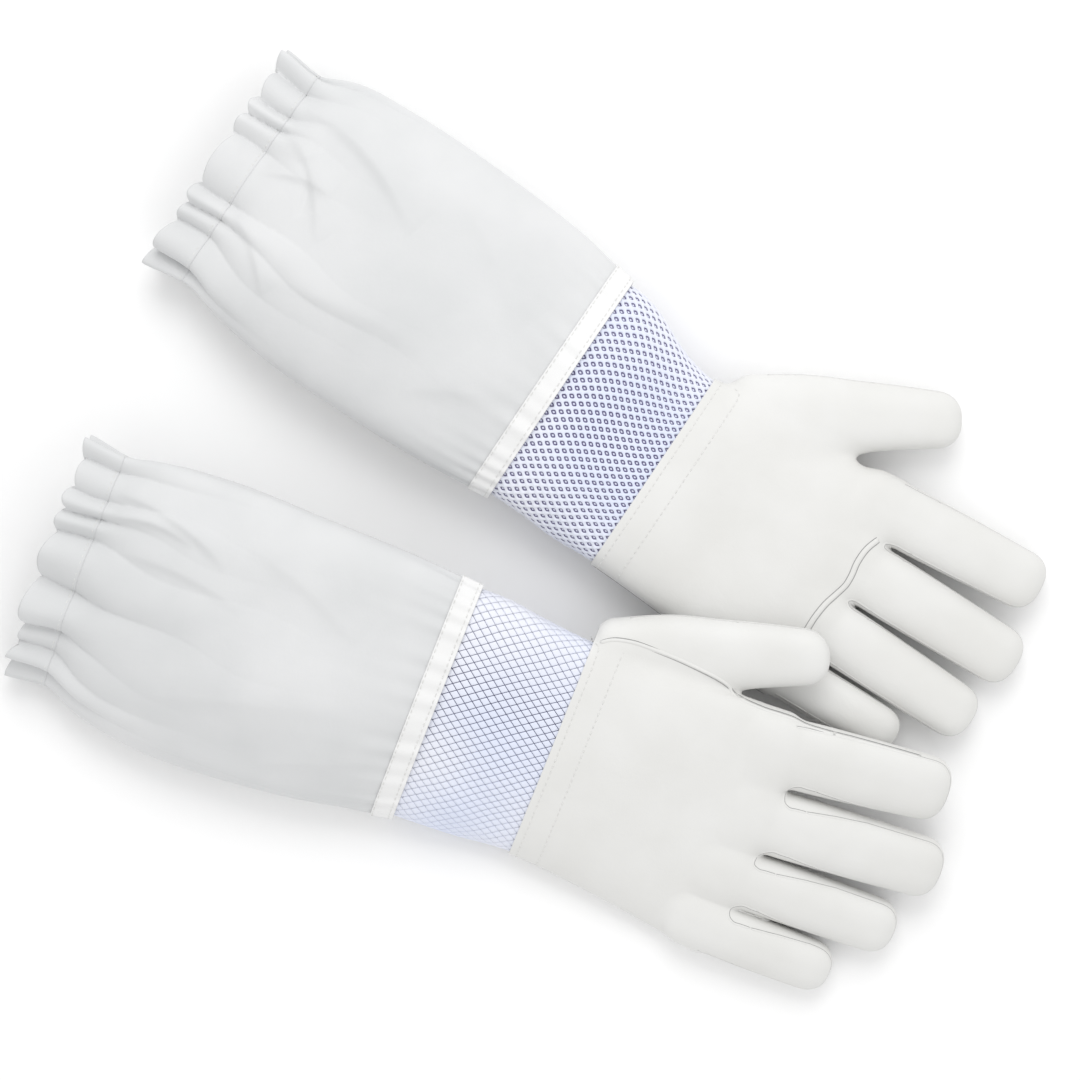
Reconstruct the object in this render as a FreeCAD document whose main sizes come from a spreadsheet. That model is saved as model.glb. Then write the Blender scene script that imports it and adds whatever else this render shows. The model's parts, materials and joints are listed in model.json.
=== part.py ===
"""A pair of ventilated beekeeping gloves, laid flat, the right glove resting on the edge of the left one.

The left glove lies with its palm up, the right glove with its back up, so both thumbs point the same way.
Each glove is modelled in its own frame: +X runs from the wrist seam to the fingertips, +Y towards the
thumb and +Z up. Every stall has a frame of its own inside that one, with +X along the finger.
Millimetres and degrees.
"""
import FreeCAD, Part
import os

HANDS = ("left", "right")
FINGERS = ("index", "middle", "ring", "little")
PALM_SIDE = {"left": 1, "right": -1}
REACH = 400.0

doc = FreeCAD.newDocument("beekeeping_gloves")
dims = doc.addObject("Spreadsheet::Sheet", "dims")

# ---------------------------------------------------------------------------------------------
# Driving dimensions
# ---------------------------------------------------------------------------------------------
# A stall's or section's "round" is its width plus its depth: leather keeps its girth, so a stall that
# lies wider is flatter.

SHARED = {
    "leather": 1.2,
    "canvas": 0.9,
    "net_skin": 0.8,
    "spacer": 2.0,
    "layer_gap": 0.1,
    "piece_gap": 0.6,
    "band_length": 63.0,
    "sleeve_length": 192.0,
    "casing_length": 20.0,
    "casing_wall": 0.9,
    "tunnel_end": 3.0,
    "tunnel_deep": 2.2,
    "elastic_thick": 1.2,
    "elastic_margin": 4.5,
    "facing_length": 10.0,
    "seam_tape_wide": 9.0,
    "hem_length": 16.0,
    "hem_thick": 1.0,
    "welt_wide": 3.0,
    "welt_thick": 1.4,
    "fourchette_wide": 6.0,
    "panel_seam_up": 1.5,
    "crease_hand": 2.5,
    "crease_stall": 6.0,
    "flex_height": 6.0,
    "index_length": 79.0,
    "middle_length": 90.0,
    "ring_length": 84.0,
    "little_length": 58.0,
    "index_round": 56.0,
    "middle_round": 56.0,
    "ring_round": 55.0,
    "little_round": 50.0,
    "stall_taper": 0.86,
    "tip_length": 13.0,
    "thumb_length": 57.0,
    "thumb_wide": 38.0,
    "thumb_round": 61.0,
    "thumb_taper": 0.74,
    "thumb_pivot": 19.5,
    "gusset_length": 52.0,
    "gusset_wide": 42.0,
}

LAYOUT = {
    "left": {
        "place_x": 25.6, "place_y": 72.4, "place_z": 16.0, "yaw": -6.25, "roll": 0.0,
        "wrist_wide": 115.0, "wrist_deep": 40.0, "wrist_side": 0.0, "wrist_up": 4.6,
        "palm_mid": 50.0, "palm_mid_wide": 119.0, "palm_mid_deep": 32.0,
        "palm_end": 118.5, "palm_end_wide": 127.0, "palm_end_deep": 29.0, "palm_end_side": 2.0,
        "cuff_wide": 132.0, "cuff_deep": 46.0, "cuff_side": 8.3, "cuff_up": 8.4,
        "sleeve_wide": 147.0, "sleeve_deep": 56.0, "sleeve_side": 9.4, "sleeve_up": 12.0,
        "end_wide": 131.0, "end_deep": 36.0, "end_side": 10.0, "end_up": 4.0,
        "index_at": 121.0, "index_side": 52.7, "index_up": 0.0, "index_yaw": 6.4, "index_droop": 3.0,
        "middle_at": 121.5, "middle_side": 18.0, "middle_up": 0.0, "middle_yaw": 2.6, "middle_droop": 3.5,
        "ring_at": 123.0, "ring_side": -16.1, "ring_up": 0.0, "ring_yaw": 0.8, "ring_droop": 3.5,
        "little_at": 123.5, "little_side": -47.0, "little_up": -1.0, "little_yaw": 4.5, "little_droop": 3.5,
        "index_wide": 33.0, "middle_wide": 33.5, "ring_wide": 32.0, "little_wide": 27.6,
        "thumb_at": 69.2, "thumb_side": 80.7, "thumb_up": -1.0, "thumb_yaw": 32.5, "thumb_rise": -2.0,
    },
    "right": {
        "place_x": 45.4, "place_y": -77.2, "place_z": 24.2, "yaw": 6.25, "roll": 16.0,
        "wrist_wide": 125.0, "wrist_deep": 36.0, "wrist_side": 0.0, "wrist_up": 1.0,
        "palm_mid": 50.0, "palm_mid_wide": 129.0, "palm_mid_deep": 30.0,
        "palm_end": 114.5, "palm_end_wide": 137.0, "palm_end_deep": 27.0, "palm_end_side": -4.5,
        "cuff_wide": 133.0, "cuff_deep": 44.0, "cuff_side": 1.5, "cuff_up": 5.2,
        "sleeve_wide": 150.0, "sleeve_deep": 54.0, "sleeve_side": -3.0, "sleeve_up": 11.0,
        "end_wide": 134.0, "end_deep": 36.0, "end_side": -2.0, "end_up": 6.0,
        "index_at": 120.5, "index_side": 44.8, "index_up": 0.0, "index_yaw": 4.5, "index_droop": 10.0,
        "middle_at": 121.5, "middle_side": 6.6, "middle_up": 1.0, "middle_yaw": 2.4, "middle_droop": 8.0,
        "ring_at": 118.5, "ring_side": -27.6, "ring_up": 2.0, "ring_yaw": 0.2, "ring_droop": 6.0,
        "little_at": 117.0, "little_side": -57.4, "little_up": 4.5, "little_yaw": -0.8, "little_droop": 3.0,
        "index_wide": 35.0, "middle_wide": 34.5, "ring_wide": 30.5, "little_wide": 28.5,
        "thumb_at": 61.4, "thumb_side": 75.7, "thumb_up": -8.0, "thumb_yaw": 22.0, "thumb_rise": -1.0,
    },
}


def fill_sheet():
    """Writes every driving dimension to the sheet, with its name in column A and its alias in column B."""
    rows = list(SHARED.items())
    for hand in HANDS:
        rows += [(hand + "_" + name, value) for name, value in LAYOUT[hand].items()]
    for number, (name, value) in enumerate(rows, start=1):
        dims.set("A" + str(number), name)
        dims.set("B" + str(number), str(value))
        dims.setAlias("B" + str(number), name)
    doc.recompute()


def size(name):
    """A driving dimension's value, read from the sheet."""
    return float(dims.get(name))


# ---------------------------------------------------------------------------------------------
# Building blocks. Lengths are expressions on the sheet, written as text.
# ---------------------------------------------------------------------------------------------


def named(name, hand=None):
    """The expression for a driving dimension, shared or of one hand."""
    return "dims." + (hand + "_" + name if hand else name)


def bind(thing, **expressions):
    """Binds an object's properties to expressions. A double underscore stands for a dot."""
    for prop, text in expressions.items():
        thing.setExpression(prop.replace("__", "."), text)


def section(name, at, side, up, wide, deep, inset):
    """An upright ellipse across the X axis, its width along Y, drawn in by the inset all round."""
    ring = doc.addObject("Part::Ellipse", name)
    turn = FreeCAD.Rotation(FreeCAD.Vector(1, 1, 1), 120)
    ring.Placement = FreeCAD.Placement(FreeCAD.Vector(), turn)
    bind(
        ring,
        MajorRadius=f"({wide}) / 2 - ({inset})",
        MinorRadius=f"({deep}) / 2 - ({inset})",
        Placement__Base__x=at,
        Placement__Base__y=side,
        Placement__Base__z=up,
    )
    return ring


def loft(name, stations, inset="0"):
    """A solid through a row of ellipses. A station is (at, side, up, wide, deep)."""
    solid = doc.addObject("Part::Loft", name)
    solid.Sections = [
        section(f"{name}_section_{number}", *station, inset)
        for number, station in enumerate(stations, start=1)
    ]
    solid.Solid = True
    solid.Ruled = True
    return solid


def combine(kind, name, base, tool):
    """A Part boolean: Cut, Common or Fuse."""
    result = doc.addObject("Part::" + kind, name)
    result.Base = base
    result.Tool = tool
    return result


def skin(name, stations, outside, inside):
    """A tube wall between two insets of the same row of ellipses."""
    outer = loft(name + "_outer", stations, outside)
    inner = loft(name + "_inner", stations, inside)
    return combine("Cut", name, outer, inner)


def block(name, low, high):
    """A box between two corners, each three expressions."""
    box = doc.addObject("Part::Box", name)
    bind(
        box,
        Placement__Base__x=low[0],
        Placement__Base__y=low[1],
        Placement__Base__z=low[2],
        Length=f"({high[0]}) - ({low[0]})",
        Width=f"({high[1]}) - ({low[1]})",
        Height=f"({high[2]}) - ({low[2]})",
    )
    return box


def layer(name, low_x, high_x, low_z, high_z):
    """A box that takes everything between two heights along a stretch of X."""
    far = str(REACH)
    return block(name, (low_x, "-" + far, low_z), (high_x, far, high_z))


# ---------------------------------------------------------------------------------------------
# Where things are
# ---------------------------------------------------------------------------------------------


def glove_place(hand):
    """The glove's frame in the part's frame."""
    base = FreeCAD.Vector(*[size(f"{hand}_place_{axis}") for axis in "xyz"])
    turn = FreeCAD.Rotation(FreeCAD.Vector(0, 0, 1), size(hand + "_yaw"))
    roll = FreeCAD.Rotation(FreeCAD.Vector(1, 0, 0), size(hand + "_roll"))
    return FreeCAD.Placement(base, turn.multiply(roll))


def stall_place(hand, digit):
    """A stall's frame in its glove's frame: +X along the stall, and the origin at its mouth."""
    start = hand + "_" + digit
    base = FreeCAD.Vector(size(start + "_at"), size(start + "_side"), size(start + "_up"))
    turn = FreeCAD.Rotation(FreeCAD.Vector(0, 0, 1), size(start + "_yaw"))
    if digit == "thumb":
        return FreeCAD.Placement(base, turn)
    droop = FreeCAD.Rotation(FreeCAD.Vector(0, 1, 0), size(start + "_droop"))
    return FreeCAD.Placement(base, turn.multiply(droop))


parts = []


def finish_part(piece, node, place):
    """Names a finished sub-part and puts it in its place."""
    piece.Label = node
    piece.Placement = place
    parts.append(piece)


# ---------------------------------------------------------------------------------------------
# Finger stalls
# ---------------------------------------------------------------------------------------------

TIP_STEPS = ((0.0, 1.0), (0.45, 0.9), (0.8, 0.62), (1.0, 0.22))


def stall_stations(length, wide, round_, taper, rise="0"):
    """Ellipses along a stall: a straight taper, then a rounded tip."""
    tip = named("tip_length")
    stations = [("0", "0", "0", wide, f"{round_} - {wide}")]
    for along, share in TIP_STEPS:
        at = f"({length}) - {tip} * {1 - along}"
        width = f"({wide}) * {taper} * {share}"
        depth = f"({round_} - {wide}) * {taper} * {share}"
        stations.append((at, "0", f"({at}) * {rise}", width, depth))
    return stations


def cut_stall(hand, digit, shell, front_start, back_start, place):
    """Parts a stall's wall into front, back and, on a finger, the fourchettes between them."""
    far = str(REACH)
    node = f"{hand}_{digit}"
    up = PALM_SIDE[hand] > 0
    half = f"{named('fourchette_wide')} / 2" if digit != "thumb" else "0"
    above = layer(node + "_above", front_start if up else back_start, far, half, far)
    below = layer(node + "_below", back_start if up else front_start, far, "-" + far, "-" + half)
    upper = combine("Common", node + "_upper", shell, above)
    lower = combine("Common", node + "_lower", shell, below)
    finish_part(upper, node + ("_front" if up else "_back"), place)
    finish_part(lower, node + ("_back" if up else "_front"), place)
    if digit != "thumb":
        between = layer(node + "_between", back_start, far, "-" + half, half)
        strips = combine("Common", node + "_strips", shell, between)
        finish_part(strips, node + "_fourchettes", place)


def make_finger(hand, digit):
    """A finger stall. Its front starts further out, so that it can bend towards the palm."""
    wide = named(digit + "_wide", hand)
    stations = stall_stations(named(digit + "_length"), wide, named(digit + "_round"), named("stall_taper"))
    shell = skin(f"{hand}_{digit}_wall", stations, "0", named("leather"))
    tip_cap = loft(f"{hand}_{digit}_cap", stations[-2:], "0")
    closed = combine("Fuse", f"{hand}_{digit}_closed", shell, tip_cap)
    place = glove_place(hand).multiply(stall_place(hand, digit))
    cut_stall(hand, digit, closed, named("crease_stall"), named("piece_gap"), place)


def thumb_stations(hand):
    """The thumb's ellipses, rising or dropping along its length."""
    rise = f"tan({named('thumb_rise', hand)} * 1 deg)"
    return stall_stations(
        named("thumb_length"), named("thumb_wide"), named("thumb_round"), named("thumb_taper"), rise
    )


def pivot_drum(name, radius):
    """An upright cylinder about the thumb's pivot."""
    drum = doc.addObject("Part::Cylinder", name)
    bind(drum, Radius=radius, Height=str(2 * REACH), Placement__Base__z="-" + str(REACH))
    return drum


def make_thumb(hand):
    """The thumb stall, whose mouth is a hollow round that turns about the end of its gusset."""
    stations = thumb_stations(hand)
    wall = skin(f"{hand}_thumb_wall", stations, "0", named("leather"))
    cap = loft(f"{hand}_thumb_cap", stations[-2:], "0")
    closed = combine("Fuse", f"{hand}_thumb_closed", wall, cap)
    drum = pivot_drum(f"{hand}_thumb_clearance", f"{named('thumb_pivot')} + 2 * {named('piece_gap')}")
    open_end = combine("Cut", f"{hand}_thumb_open", closed, drum)
    place = glove_place(hand).multiply(stall_place(hand, "thumb"))
    cut_stall(hand, "thumb", open_end, "0", "0", place)


# ---------------------------------------------------------------------------------------------
# The hand
# ---------------------------------------------------------------------------------------------


def palm_stations(hand):
    """Ellipses from the wrist seam to the knuckles."""
    wrist = ("0", named("wrist_side", hand), named("wrist_up", hand))
    wrist += (named("wrist_wide", hand), named("wrist_deep", hand))
    middle = (
        named("palm_mid", hand),
        f"({named('wrist_side', hand)} + {named('palm_end_side', hand)}) / 2",
        "0",
        named("palm_mid_wide", hand),
        named("palm_mid_deep", hand),
    )
    end = (
        named("palm_end", hand),
        named("palm_end_side", hand),
        "0",
        named("palm_end_wide", hand),
        named("palm_end_deep", hand),
    )
    return [wrist, middle, end]


def gusset_stations(hand):
    """Ellipses from inside the palm out past the thumb's pivot, in the thumb's frame."""
    wide, mouth = named("gusset_wide"), named("thumb_wide")
    depth = f"{named('thumb_round')} - {mouth}"
    pivot = named("thumb_pivot")
    up = named("thumb_up", hand)
    return [
        (f"-{named('gusset_length')}", "0", f"-({up}) * 0.6", wide, depth),
        (f"-{pivot}", "0", "0", wide, depth),
        (f"{pivot} * 0.3", "0", "0", f"{mouth} + 1", depth),
        (f"{pivot} * 1.2", "0", "0", mouth, depth),
    ]


def gusset_solid(hand, name):
    """The base of the thumb, whose end is round about the thumb's pivot."""
    tube = loft(name + "_tube", gusset_stations(hand))
    far = str(REACH)
    drum = pivot_drum(name + "_drum", named("thumb_pivot"))
    inward = layer(name + "_inward", "-" + far, "0", "-" + far, far)
    keep = combine("Fuse", name + "_keep", drum, inward)
    base = combine("Common", name, tube, keep)
    base.Placement = stall_place(hand, "thumb")
    return base


def make_hand(hand):
    """Palm and back panels, the thumb's gusset, the palm's welt and the hem inside the wrist edge."""
    far, place, gap = str(REACH), glove_place(hand), named("layer_gap")
    stations = palm_stations(hand)
    solid = loft(hand + "_palm_solid", stations)
    cavity = loft(hand + "_palm_cavity", stations, named("leather"))
    mouth = loft(hand + "_gusset_cavity", gusset_stations(hand), named("leather"))
    mouth.Placement = stall_place(hand, "thumb")
    wall = combine("Cut", hand + "_palm_wall", combine("Cut", hand + "_palm_tube", solid, cavity), mouth)

    up = PALM_SIDE[hand] > 0
    crease = f"{named('palm_end', hand)} - {named('crease_hand')}"
    seam = f"{named('panel_seam_up')} * {PALM_SIDE[hand]}"
    above = layer(hand + "_hand_above", "0", crease if up else far, seam, far)
    below = layer(hand + "_hand_below", "0", far if up else crease, "-" + far, seam)
    upper = combine("Common", hand + "_hand_upper", wall, above)
    lower = combine("Common", hand + "_hand_lower", wall, below)
    finish_part(upper, hand + ("_palm_panel" if up else "_back_panel"), place)
    finish_part(lower, hand + ("_back_panel" if up else "_palm_panel"), place)

    tube = combine("Cut", hand + "_gusset_wall", gusset_solid(hand, hand + "_gusset"), mouth)
    clear = loft(hand + "_palm_clearance", stations, "-" + gap)
    finish_part(combine("Cut", hand + "_gusset_piece", tube, clear), hand + "_thumb_gusset", place)

    ring = skin(hand + "_welt_ring", stations, f"-{named('welt_thick')}", "-" + gap)
    side_low = f"{named('ring_side', hand)} - {named('ring_wide', hand)} / 2"
    side_high = f"{named('middle_side', hand)} + {named('middle_wide', hand)} / 2"
    level = ("0", far) if up else ("-" + far, "0")
    reach_x = (f"{crease} - {named('welt_wide')} - 1", f"{crease} - 1")
    strip = block(hand + "_welt_box", (reach_x[0], side_low, level[0]), (reach_x[1], side_high, level[1]))
    finish_part(combine("Common", hand + "_welt", ring, strip), hand + "_palm_welt", place)

    outside = f"{named('leather')} + {gap}"
    hem = skin(hand + "_hem_ring", stations[:2], outside, f"{outside} + {named('hem_thick')}")
    hem_box = layer(hand + "_hem_box", "0", named("hem_length"), "-" + far, far)
    finish_part(combine("Common", hand + "_hem", hem, hem_box), hand + "_wrist_hem", place)


# ---------------------------------------------------------------------------------------------
# The ventilated band and the sleeve
# ---------------------------------------------------------------------------------------------


def make_band(hand):
    """Three layers of net between the leather and the sleeve."""
    place, gap = glove_place(hand), named("piece_gap")
    wrist = (f"-{gap} / 2", named("wrist_side", hand), named("wrist_up", hand))
    wrist += (named("wrist_wide", hand), named("wrist_deep", hand))
    cuff = (f"-{named('band_length')} + {gap} / 2", named("cuff_side", hand), named("cuff_up", hand))
    cuff += (named("cuff_wide", hand), named("cuff_deep", hand))
    net, spacer, between = named("net_skin"), named("spacer"), named("layer_gap")
    depths = {
        "outer_net": ("0", net),
        "spacer_layer": (f"{net} + {between}", f"{net} + {between} + {spacer}"),
        "inner_net": (
            f"{net} + {spacer} + 2 * {between}",
            f"2 * {net} + {spacer} + 2 * {between}",
        ),
    }
    for node, (outside, inside) in depths.items():
        wall = skin(f"{hand}_{node}_wall", [cuff, wrist], outside, inside)
        finish_part(wall, f"{hand}_{node}", place)


SLEEVE_STEPS = ((0.0, 0.0, 0.0), (0.16, 0.6, 0.0), (0.45, 1.0, 0.0), (0.78, 0.9, 0.1), (1.0, 0.0, 1.0))


def sleeve_stations(hand):
    """Ellipses from the end of the band to the casing: cuff, full width, then drawn in to the hem."""
    stations = []
    for along, full, end in SLEEVE_STEPS:
        start = round(1 - full - end, 3)
        mix = [
            f"{named('cuff_' + name, hand)} * {start} + {named('sleeve_' + name, hand)} * {full}"
            f" + {named('end_' + name, hand)} * {end}"
            for name in ("side", "up", "wide", "deep")
        ]
        at = f"-{named('band_length')} - {named('sleeve_length')} * {along}"
        stations.append((at, *mix))
    return stations


def casing_stations(hand, margin):
    """The two ends of the gathered hem, or of a stretch inside it."""
    sleeve_end = f"-{named('band_length')} - {named('sleeve_length')}"
    shape = [named("end_" + name, hand) for name in ("side", "up", "wide", "deep")]
    near = f"{sleeve_end} - {margin}"
    far = f"{sleeve_end} - {named('casing_length')} + {margin}"
    return [(near, *shape), (far, *shape)]


def make_sleeve(hand):
    """The canvas sleeve with its facing and seam tape, and the gathered hem with its elastic."""
    place, stations = glove_place(hand), sleeve_stations(hand)
    canvas, gap = named("canvas"), named("layer_gap")
    finish_part(skin(hand + "_sleeve_wall", stations, "0", canvas), hand + "_sleeve", place)

    over = skin(hand + "_over_sleeve", stations, f"-{canvas} - {gap}", "-" + gap)
    cuff_end = f"-{named('band_length')}"
    facing_end = f"{cuff_end} - {named('facing_length')}"
    far = str(REACH)
    facing_box = layer(hand + "_facing_box", facing_end, cuff_end, "-" + far, far)
    finish_part(combine("Common", hand + "_facing", over, facing_box), hand + "_sleeve_facing", place)

    tape_start = f"{facing_end} - {gap}"
    tape_end = f"{cuff_end} - {named('sleeve_length')}"
    middle = named("sleeve_up", hand)
    half = f"{named('seam_tape_wide')} / 2"
    tape_box = block(
        hand + "_tape_box", (tape_end, "-" + far, f"{middle} - {half}"), (tape_start, "0", f"{middle} + {half}")
    )
    finish_part(combine("Common", hand + "_tape", over, tape_box), hand + "_side_seam", place)

    wall, tunnel_end = named("casing_wall"), named("tunnel_end")
    deep = named("tunnel_deep")
    body = skin(hand + "_casing_body", casing_stations(hand, "0"), f"-{wall}", f"{deep} + {wall}")
    tunnel = skin(hand + "_casing_tunnel", casing_stations(hand, tunnel_end), "0", deep)
    finish_part(combine("Cut", hand + "_casing", body, tunnel), hand + "_elastic_casing", place)

    slack = f"({deep} - {named('elastic_thick')}) / 2"
    elastic = casing_stations(hand, named("elastic_margin"))
    band = skin(hand + "_elastic", elastic, slack, f"{slack} + {named('elastic_thick')}")
    finish_part(band, hand + "_elastic_band", place)


# ---------------------------------------------------------------------------------------------
# Build, check and write
# ---------------------------------------------------------------------------------------------


def check():
    """Stops if an object failed to compute or a sub-part has no valid shape."""
    failed = [thing.Name for thing in doc.Objects if {"Invalid", "Error"} & set(thing.State)]
    failed += [piece.Label for piece in parts if piece.Shape.isNull() or not piece.Shape.isValid()]
    failed += [piece.Label for piece in parts if not piece.Shape.Solids]
    if failed:
        raise SystemExit("these did not compute: " + ", ".join(failed))


def write():
    """Writes each sub-part to its own STEP file and prints the whole part's box."""
    os.makedirs("parts", exist_ok=True)
    whole = FreeCAD.BoundBox()
    for piece in parts:
        piece.Shape.exportStep("parts/" + piece.Label + ".step")
        whole.add(piece.Shape.optimalBoundingBox(False))
    low = [round(value, 2) for value in (whole.XMin, whole.YMin, whole.ZMin)]
    high = [round(value, 2) for value in (whole.XMax, whole.YMax, whole.ZMax)]
    print(len(parts), "sub-parts from", low, "to", high)


fill_sheet()
for hand in HANDS:
    make_hand(hand)
    make_band(hand)
    make_sleeve(hand)
    make_thumb(hand)
    for digit in FINGERS:
        make_finger(hand, digit)
doc.recompute()
check()
write()
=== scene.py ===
"""The looks of a pair of ventilated beekeeping gloves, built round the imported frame.

Every glove is shaped in its own frame, in millimetres: +X from the wrist seam to the fingertips,
+Y towards the thumb and +Z up. Glove.to_row takes that frame to the row's, in metres.
"""

import json
import math

import bmesh
import bpy
import numpy as np
from mathutils import Matrix, Vector


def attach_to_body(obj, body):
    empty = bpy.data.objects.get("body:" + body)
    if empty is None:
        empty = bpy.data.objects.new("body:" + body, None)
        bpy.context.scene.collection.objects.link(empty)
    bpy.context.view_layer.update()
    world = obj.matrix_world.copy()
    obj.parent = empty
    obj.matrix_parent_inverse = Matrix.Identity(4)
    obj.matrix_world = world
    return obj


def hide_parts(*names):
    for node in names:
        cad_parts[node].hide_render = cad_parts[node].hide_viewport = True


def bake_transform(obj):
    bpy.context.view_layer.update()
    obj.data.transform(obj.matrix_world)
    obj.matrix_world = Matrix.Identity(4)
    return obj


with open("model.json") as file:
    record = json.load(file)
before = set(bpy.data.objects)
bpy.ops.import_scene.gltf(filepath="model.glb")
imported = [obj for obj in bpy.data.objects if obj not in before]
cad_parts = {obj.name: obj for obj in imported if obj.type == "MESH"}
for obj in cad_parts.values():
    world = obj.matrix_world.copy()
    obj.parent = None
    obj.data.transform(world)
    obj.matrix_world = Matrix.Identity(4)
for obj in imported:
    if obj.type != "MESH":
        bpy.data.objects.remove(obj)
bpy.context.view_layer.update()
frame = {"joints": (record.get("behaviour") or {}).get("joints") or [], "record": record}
MM = 0.001
JOINTS = {joint["name"]: joint for joint in frame["joints"]}
MOUNTS = {mount["name"]: mount for mount in frame["record"]["mounts"]}
HANDS = ("left", "right")
FINGERS = ("index", "middle", "ring", "little")
DIGITS = FINGERS + ("thumb",)

# ---- Shapes, in millimetres in each glove's own frame ----

LEATHER = 1.2
CANVAS = 0.9
BAND = 63.0
SLEEVE_END = -255.0
RIM = -275.0
STALL_CUT = 11.0
THUMB_CUT = 10.0
BEND = 30.0

# how softly the thumb's base runs into the hand
THUMB_BLEND = {"left": 9.0, "right": 4.0}

# a stall: where its mouth is, its yaw and droop in degrees, its length, its width and its depth
STALLS = {
    "left": {
        "index": ((121.0, 52.7, 0.0), 6.4, 3.0, 80.0, 33.0, 23.0),
        "middle": ((121.5, 18.0, 0.0), 2.6, 3.5, 91.0, 33.5, 22.5),
        "ring": ((123.0, -16.1, 0.0), 0.8, 3.5, 86.0, 31.8, 22.5),
        "little": ((123.5, -47.6, -1.0), 3.7, 3.5, 58.0, 26.4, 21.5),
        "thumb": ((69.2, 80.7, -1.0), 32.5, 0.0, 57.0, 36.0, 23.0),
    },
    "right": {
        "index": ((120.5, 44.8, 0.0), 4.5, 10.0, 79.0, 36.6, 21.0),
        "middle": ((121.5, 6.6, 1.0), 2.4, 8.0, 90.0, 34.8, 21.5),
        "ring": ((118.5, -27.6, 2.0), 0.2, 6.0, 82.0, 31.0, 23.0),
        "little": ((117.0, -57.4, 4.5), -0.8, 3.0, 60.0, 28.6, 21.0),
        "thumb": ((61.4, 75.7, -8.0), 22.0, 0.0, 57.0, 36.0, 23.0),
    },
}

# rows of sections: along, centre to the side, centre up, half width, half depth, squareness
PALMS = {
    "left": [
        (-12, 0.0, 4.6, 57.6, 20.0, 2.2),
        (0, 0.0, 4.6, 57.5, 20.0, 2.2),
        (50, -0.5, 1.0, 58.5, 16.8, 2.4),
        (92, 1.0, 0.2, 62.5, 13.8, 2.7),
        (110, 2.2, 0.0, 64.0, 11.9, 2.9),
        (130, 2.5, -0.3, 64.0, 10.4, 2.9),
    ],
    "right": [
        (-12, 0.0, 1.0, 62.5, 18.2, 2.2),
        (0, 0.0, 1.0, 62.0, 18.0, 2.2),
        (50, -2.0, 0.5, 64.0, 15.6, 2.4),
        (90, -4.0, 0.4, 67.5, 13.2, 2.7),
        (107, -5.0, 0.9, 69.0, 11.6, 2.9),
        (127, -5.0, 1.5, 69.0, 10.4, 2.9),
    ],
}

SLEEVES = {
    "left": [
        (-BAND, 8.3, 8.4, 66.0, 23.0),
        (-92, 8.9, 10.6, 70.5, 26.0),
        (-150, 9.4, 12.0, 74.0, 28.0),
        (-205, 9.6, 11.0, 73.5, 27.5),
        (-238, 10.0, 7.0, 68.5, 23.0),
        (SLEEVE_END, 10.0, 4.5, 62.0, 17.5),
        (RIM - 2, 10.0, 4.5, 62.0, 18.5),
    ],
    "right": [
        (-BAND, 1.5, 5.2, 66.5, 22.0),
        (-92, -0.5, 8.0, 71.5, 25.0),
        (-150, -3.0, 11.0, 75.0, 27.0),
        (-205, -3.0, 10.5, 74.5, 26.5),
        (-238, -2.5, 8.0, 69.5, 22.0),
        (SLEEVE_END, -2.0, 6.5, 64.0, 17.0),
        (RIM - 2, -2.0, 6.5, 64.5, 18.0),
    ],
}


class Glove:
    """One glove's frame, taken from its wrist joint and its cuff."""

    def __init__(self, hand):
        self.hand = hand
        along = -np.array(MOUNTS[hand + "_cuff_opening"]["axis"])
        across = np.array(JOINTS[hand + "_wrist_flex"]["axis"])
        self.turn = np.column_stack([along, across, np.cross(along, across)])
        wrist, cuff = PALMS[hand][1], SLEEVES[hand][0]
        middle = np.array([-BAND / 2, (wrist[1] + cuff[1]) / 2, (wrist[2] + cuff[2]) / 2])
        self.origin = np.array(JOINTS[hand + "_wrist_flex"]["pos_m"]) - self.turn @ middle * MM

    def to_row(self, points):
        """Points of the glove's frame in the row's frame, in metres."""
        return np.asarray(points, float) @ self.turn.T * MM + self.origin

    def direction(self, vectors):
        """Directions of the glove's frame in the row's frame."""
        return np.asarray(vectors, float) @ self.turn.T


def turn_about(axis, degrees):
    """A rotation matrix as numpy."""
    return np.array(Matrix.Rotation(math.radians(degrees), 3, axis))


def unit(vectors):
    """Vectors of length one."""
    return vectors / np.maximum(np.linalg.norm(vectors, axis=-1, keepdims=True), 1e-9)


def rounded(value, power):
    """A cosine or sine raised to a power with its sign kept, which squares a section's corners."""
    return np.sign(value) * np.abs(value) ** power


def lengths(path):
    """The distance along a path at each of its points."""
    return np.concatenate([[0], np.cumsum(np.linalg.norm(np.diff(path, axis=0), axis=1))])


def cut_of(digit):
    """Where along a stall the leather is cut and starts to bend."""
    return THUMB_CUT if digit == "thumb" else STALL_CUT


def smooth_curve(rows, along):
    """Sections read at any place along, through a smooth curve over the rows."""
    rows = np.array(rows, float)
    at = rows[:, 0]
    slopes = np.gradient(rows[:, 1:], at, axis=0)
    cell = np.clip(np.searchsorted(at, along) - 1, 0, len(at) - 2)
    width = at[cell + 1] - at[cell]
    t = np.clip((along - at[cell]) / width, 0, 1)[:, None]
    h00, h10 = 2 * t**3 - 3 * t**2 + 1, t**3 - 2 * t**2 + t
    h01, h11 = -2 * t**3 + 3 * t**2, t**3 - t**2
    low, high = rows[cell, 1:], rows[cell + 1, 1:]
    rise, fall = width[:, None] * slopes[cell], width[:, None] * slopes[cell + 1]
    return h00 * low + h10 * rise + h01 * high + h11 * fall


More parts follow.
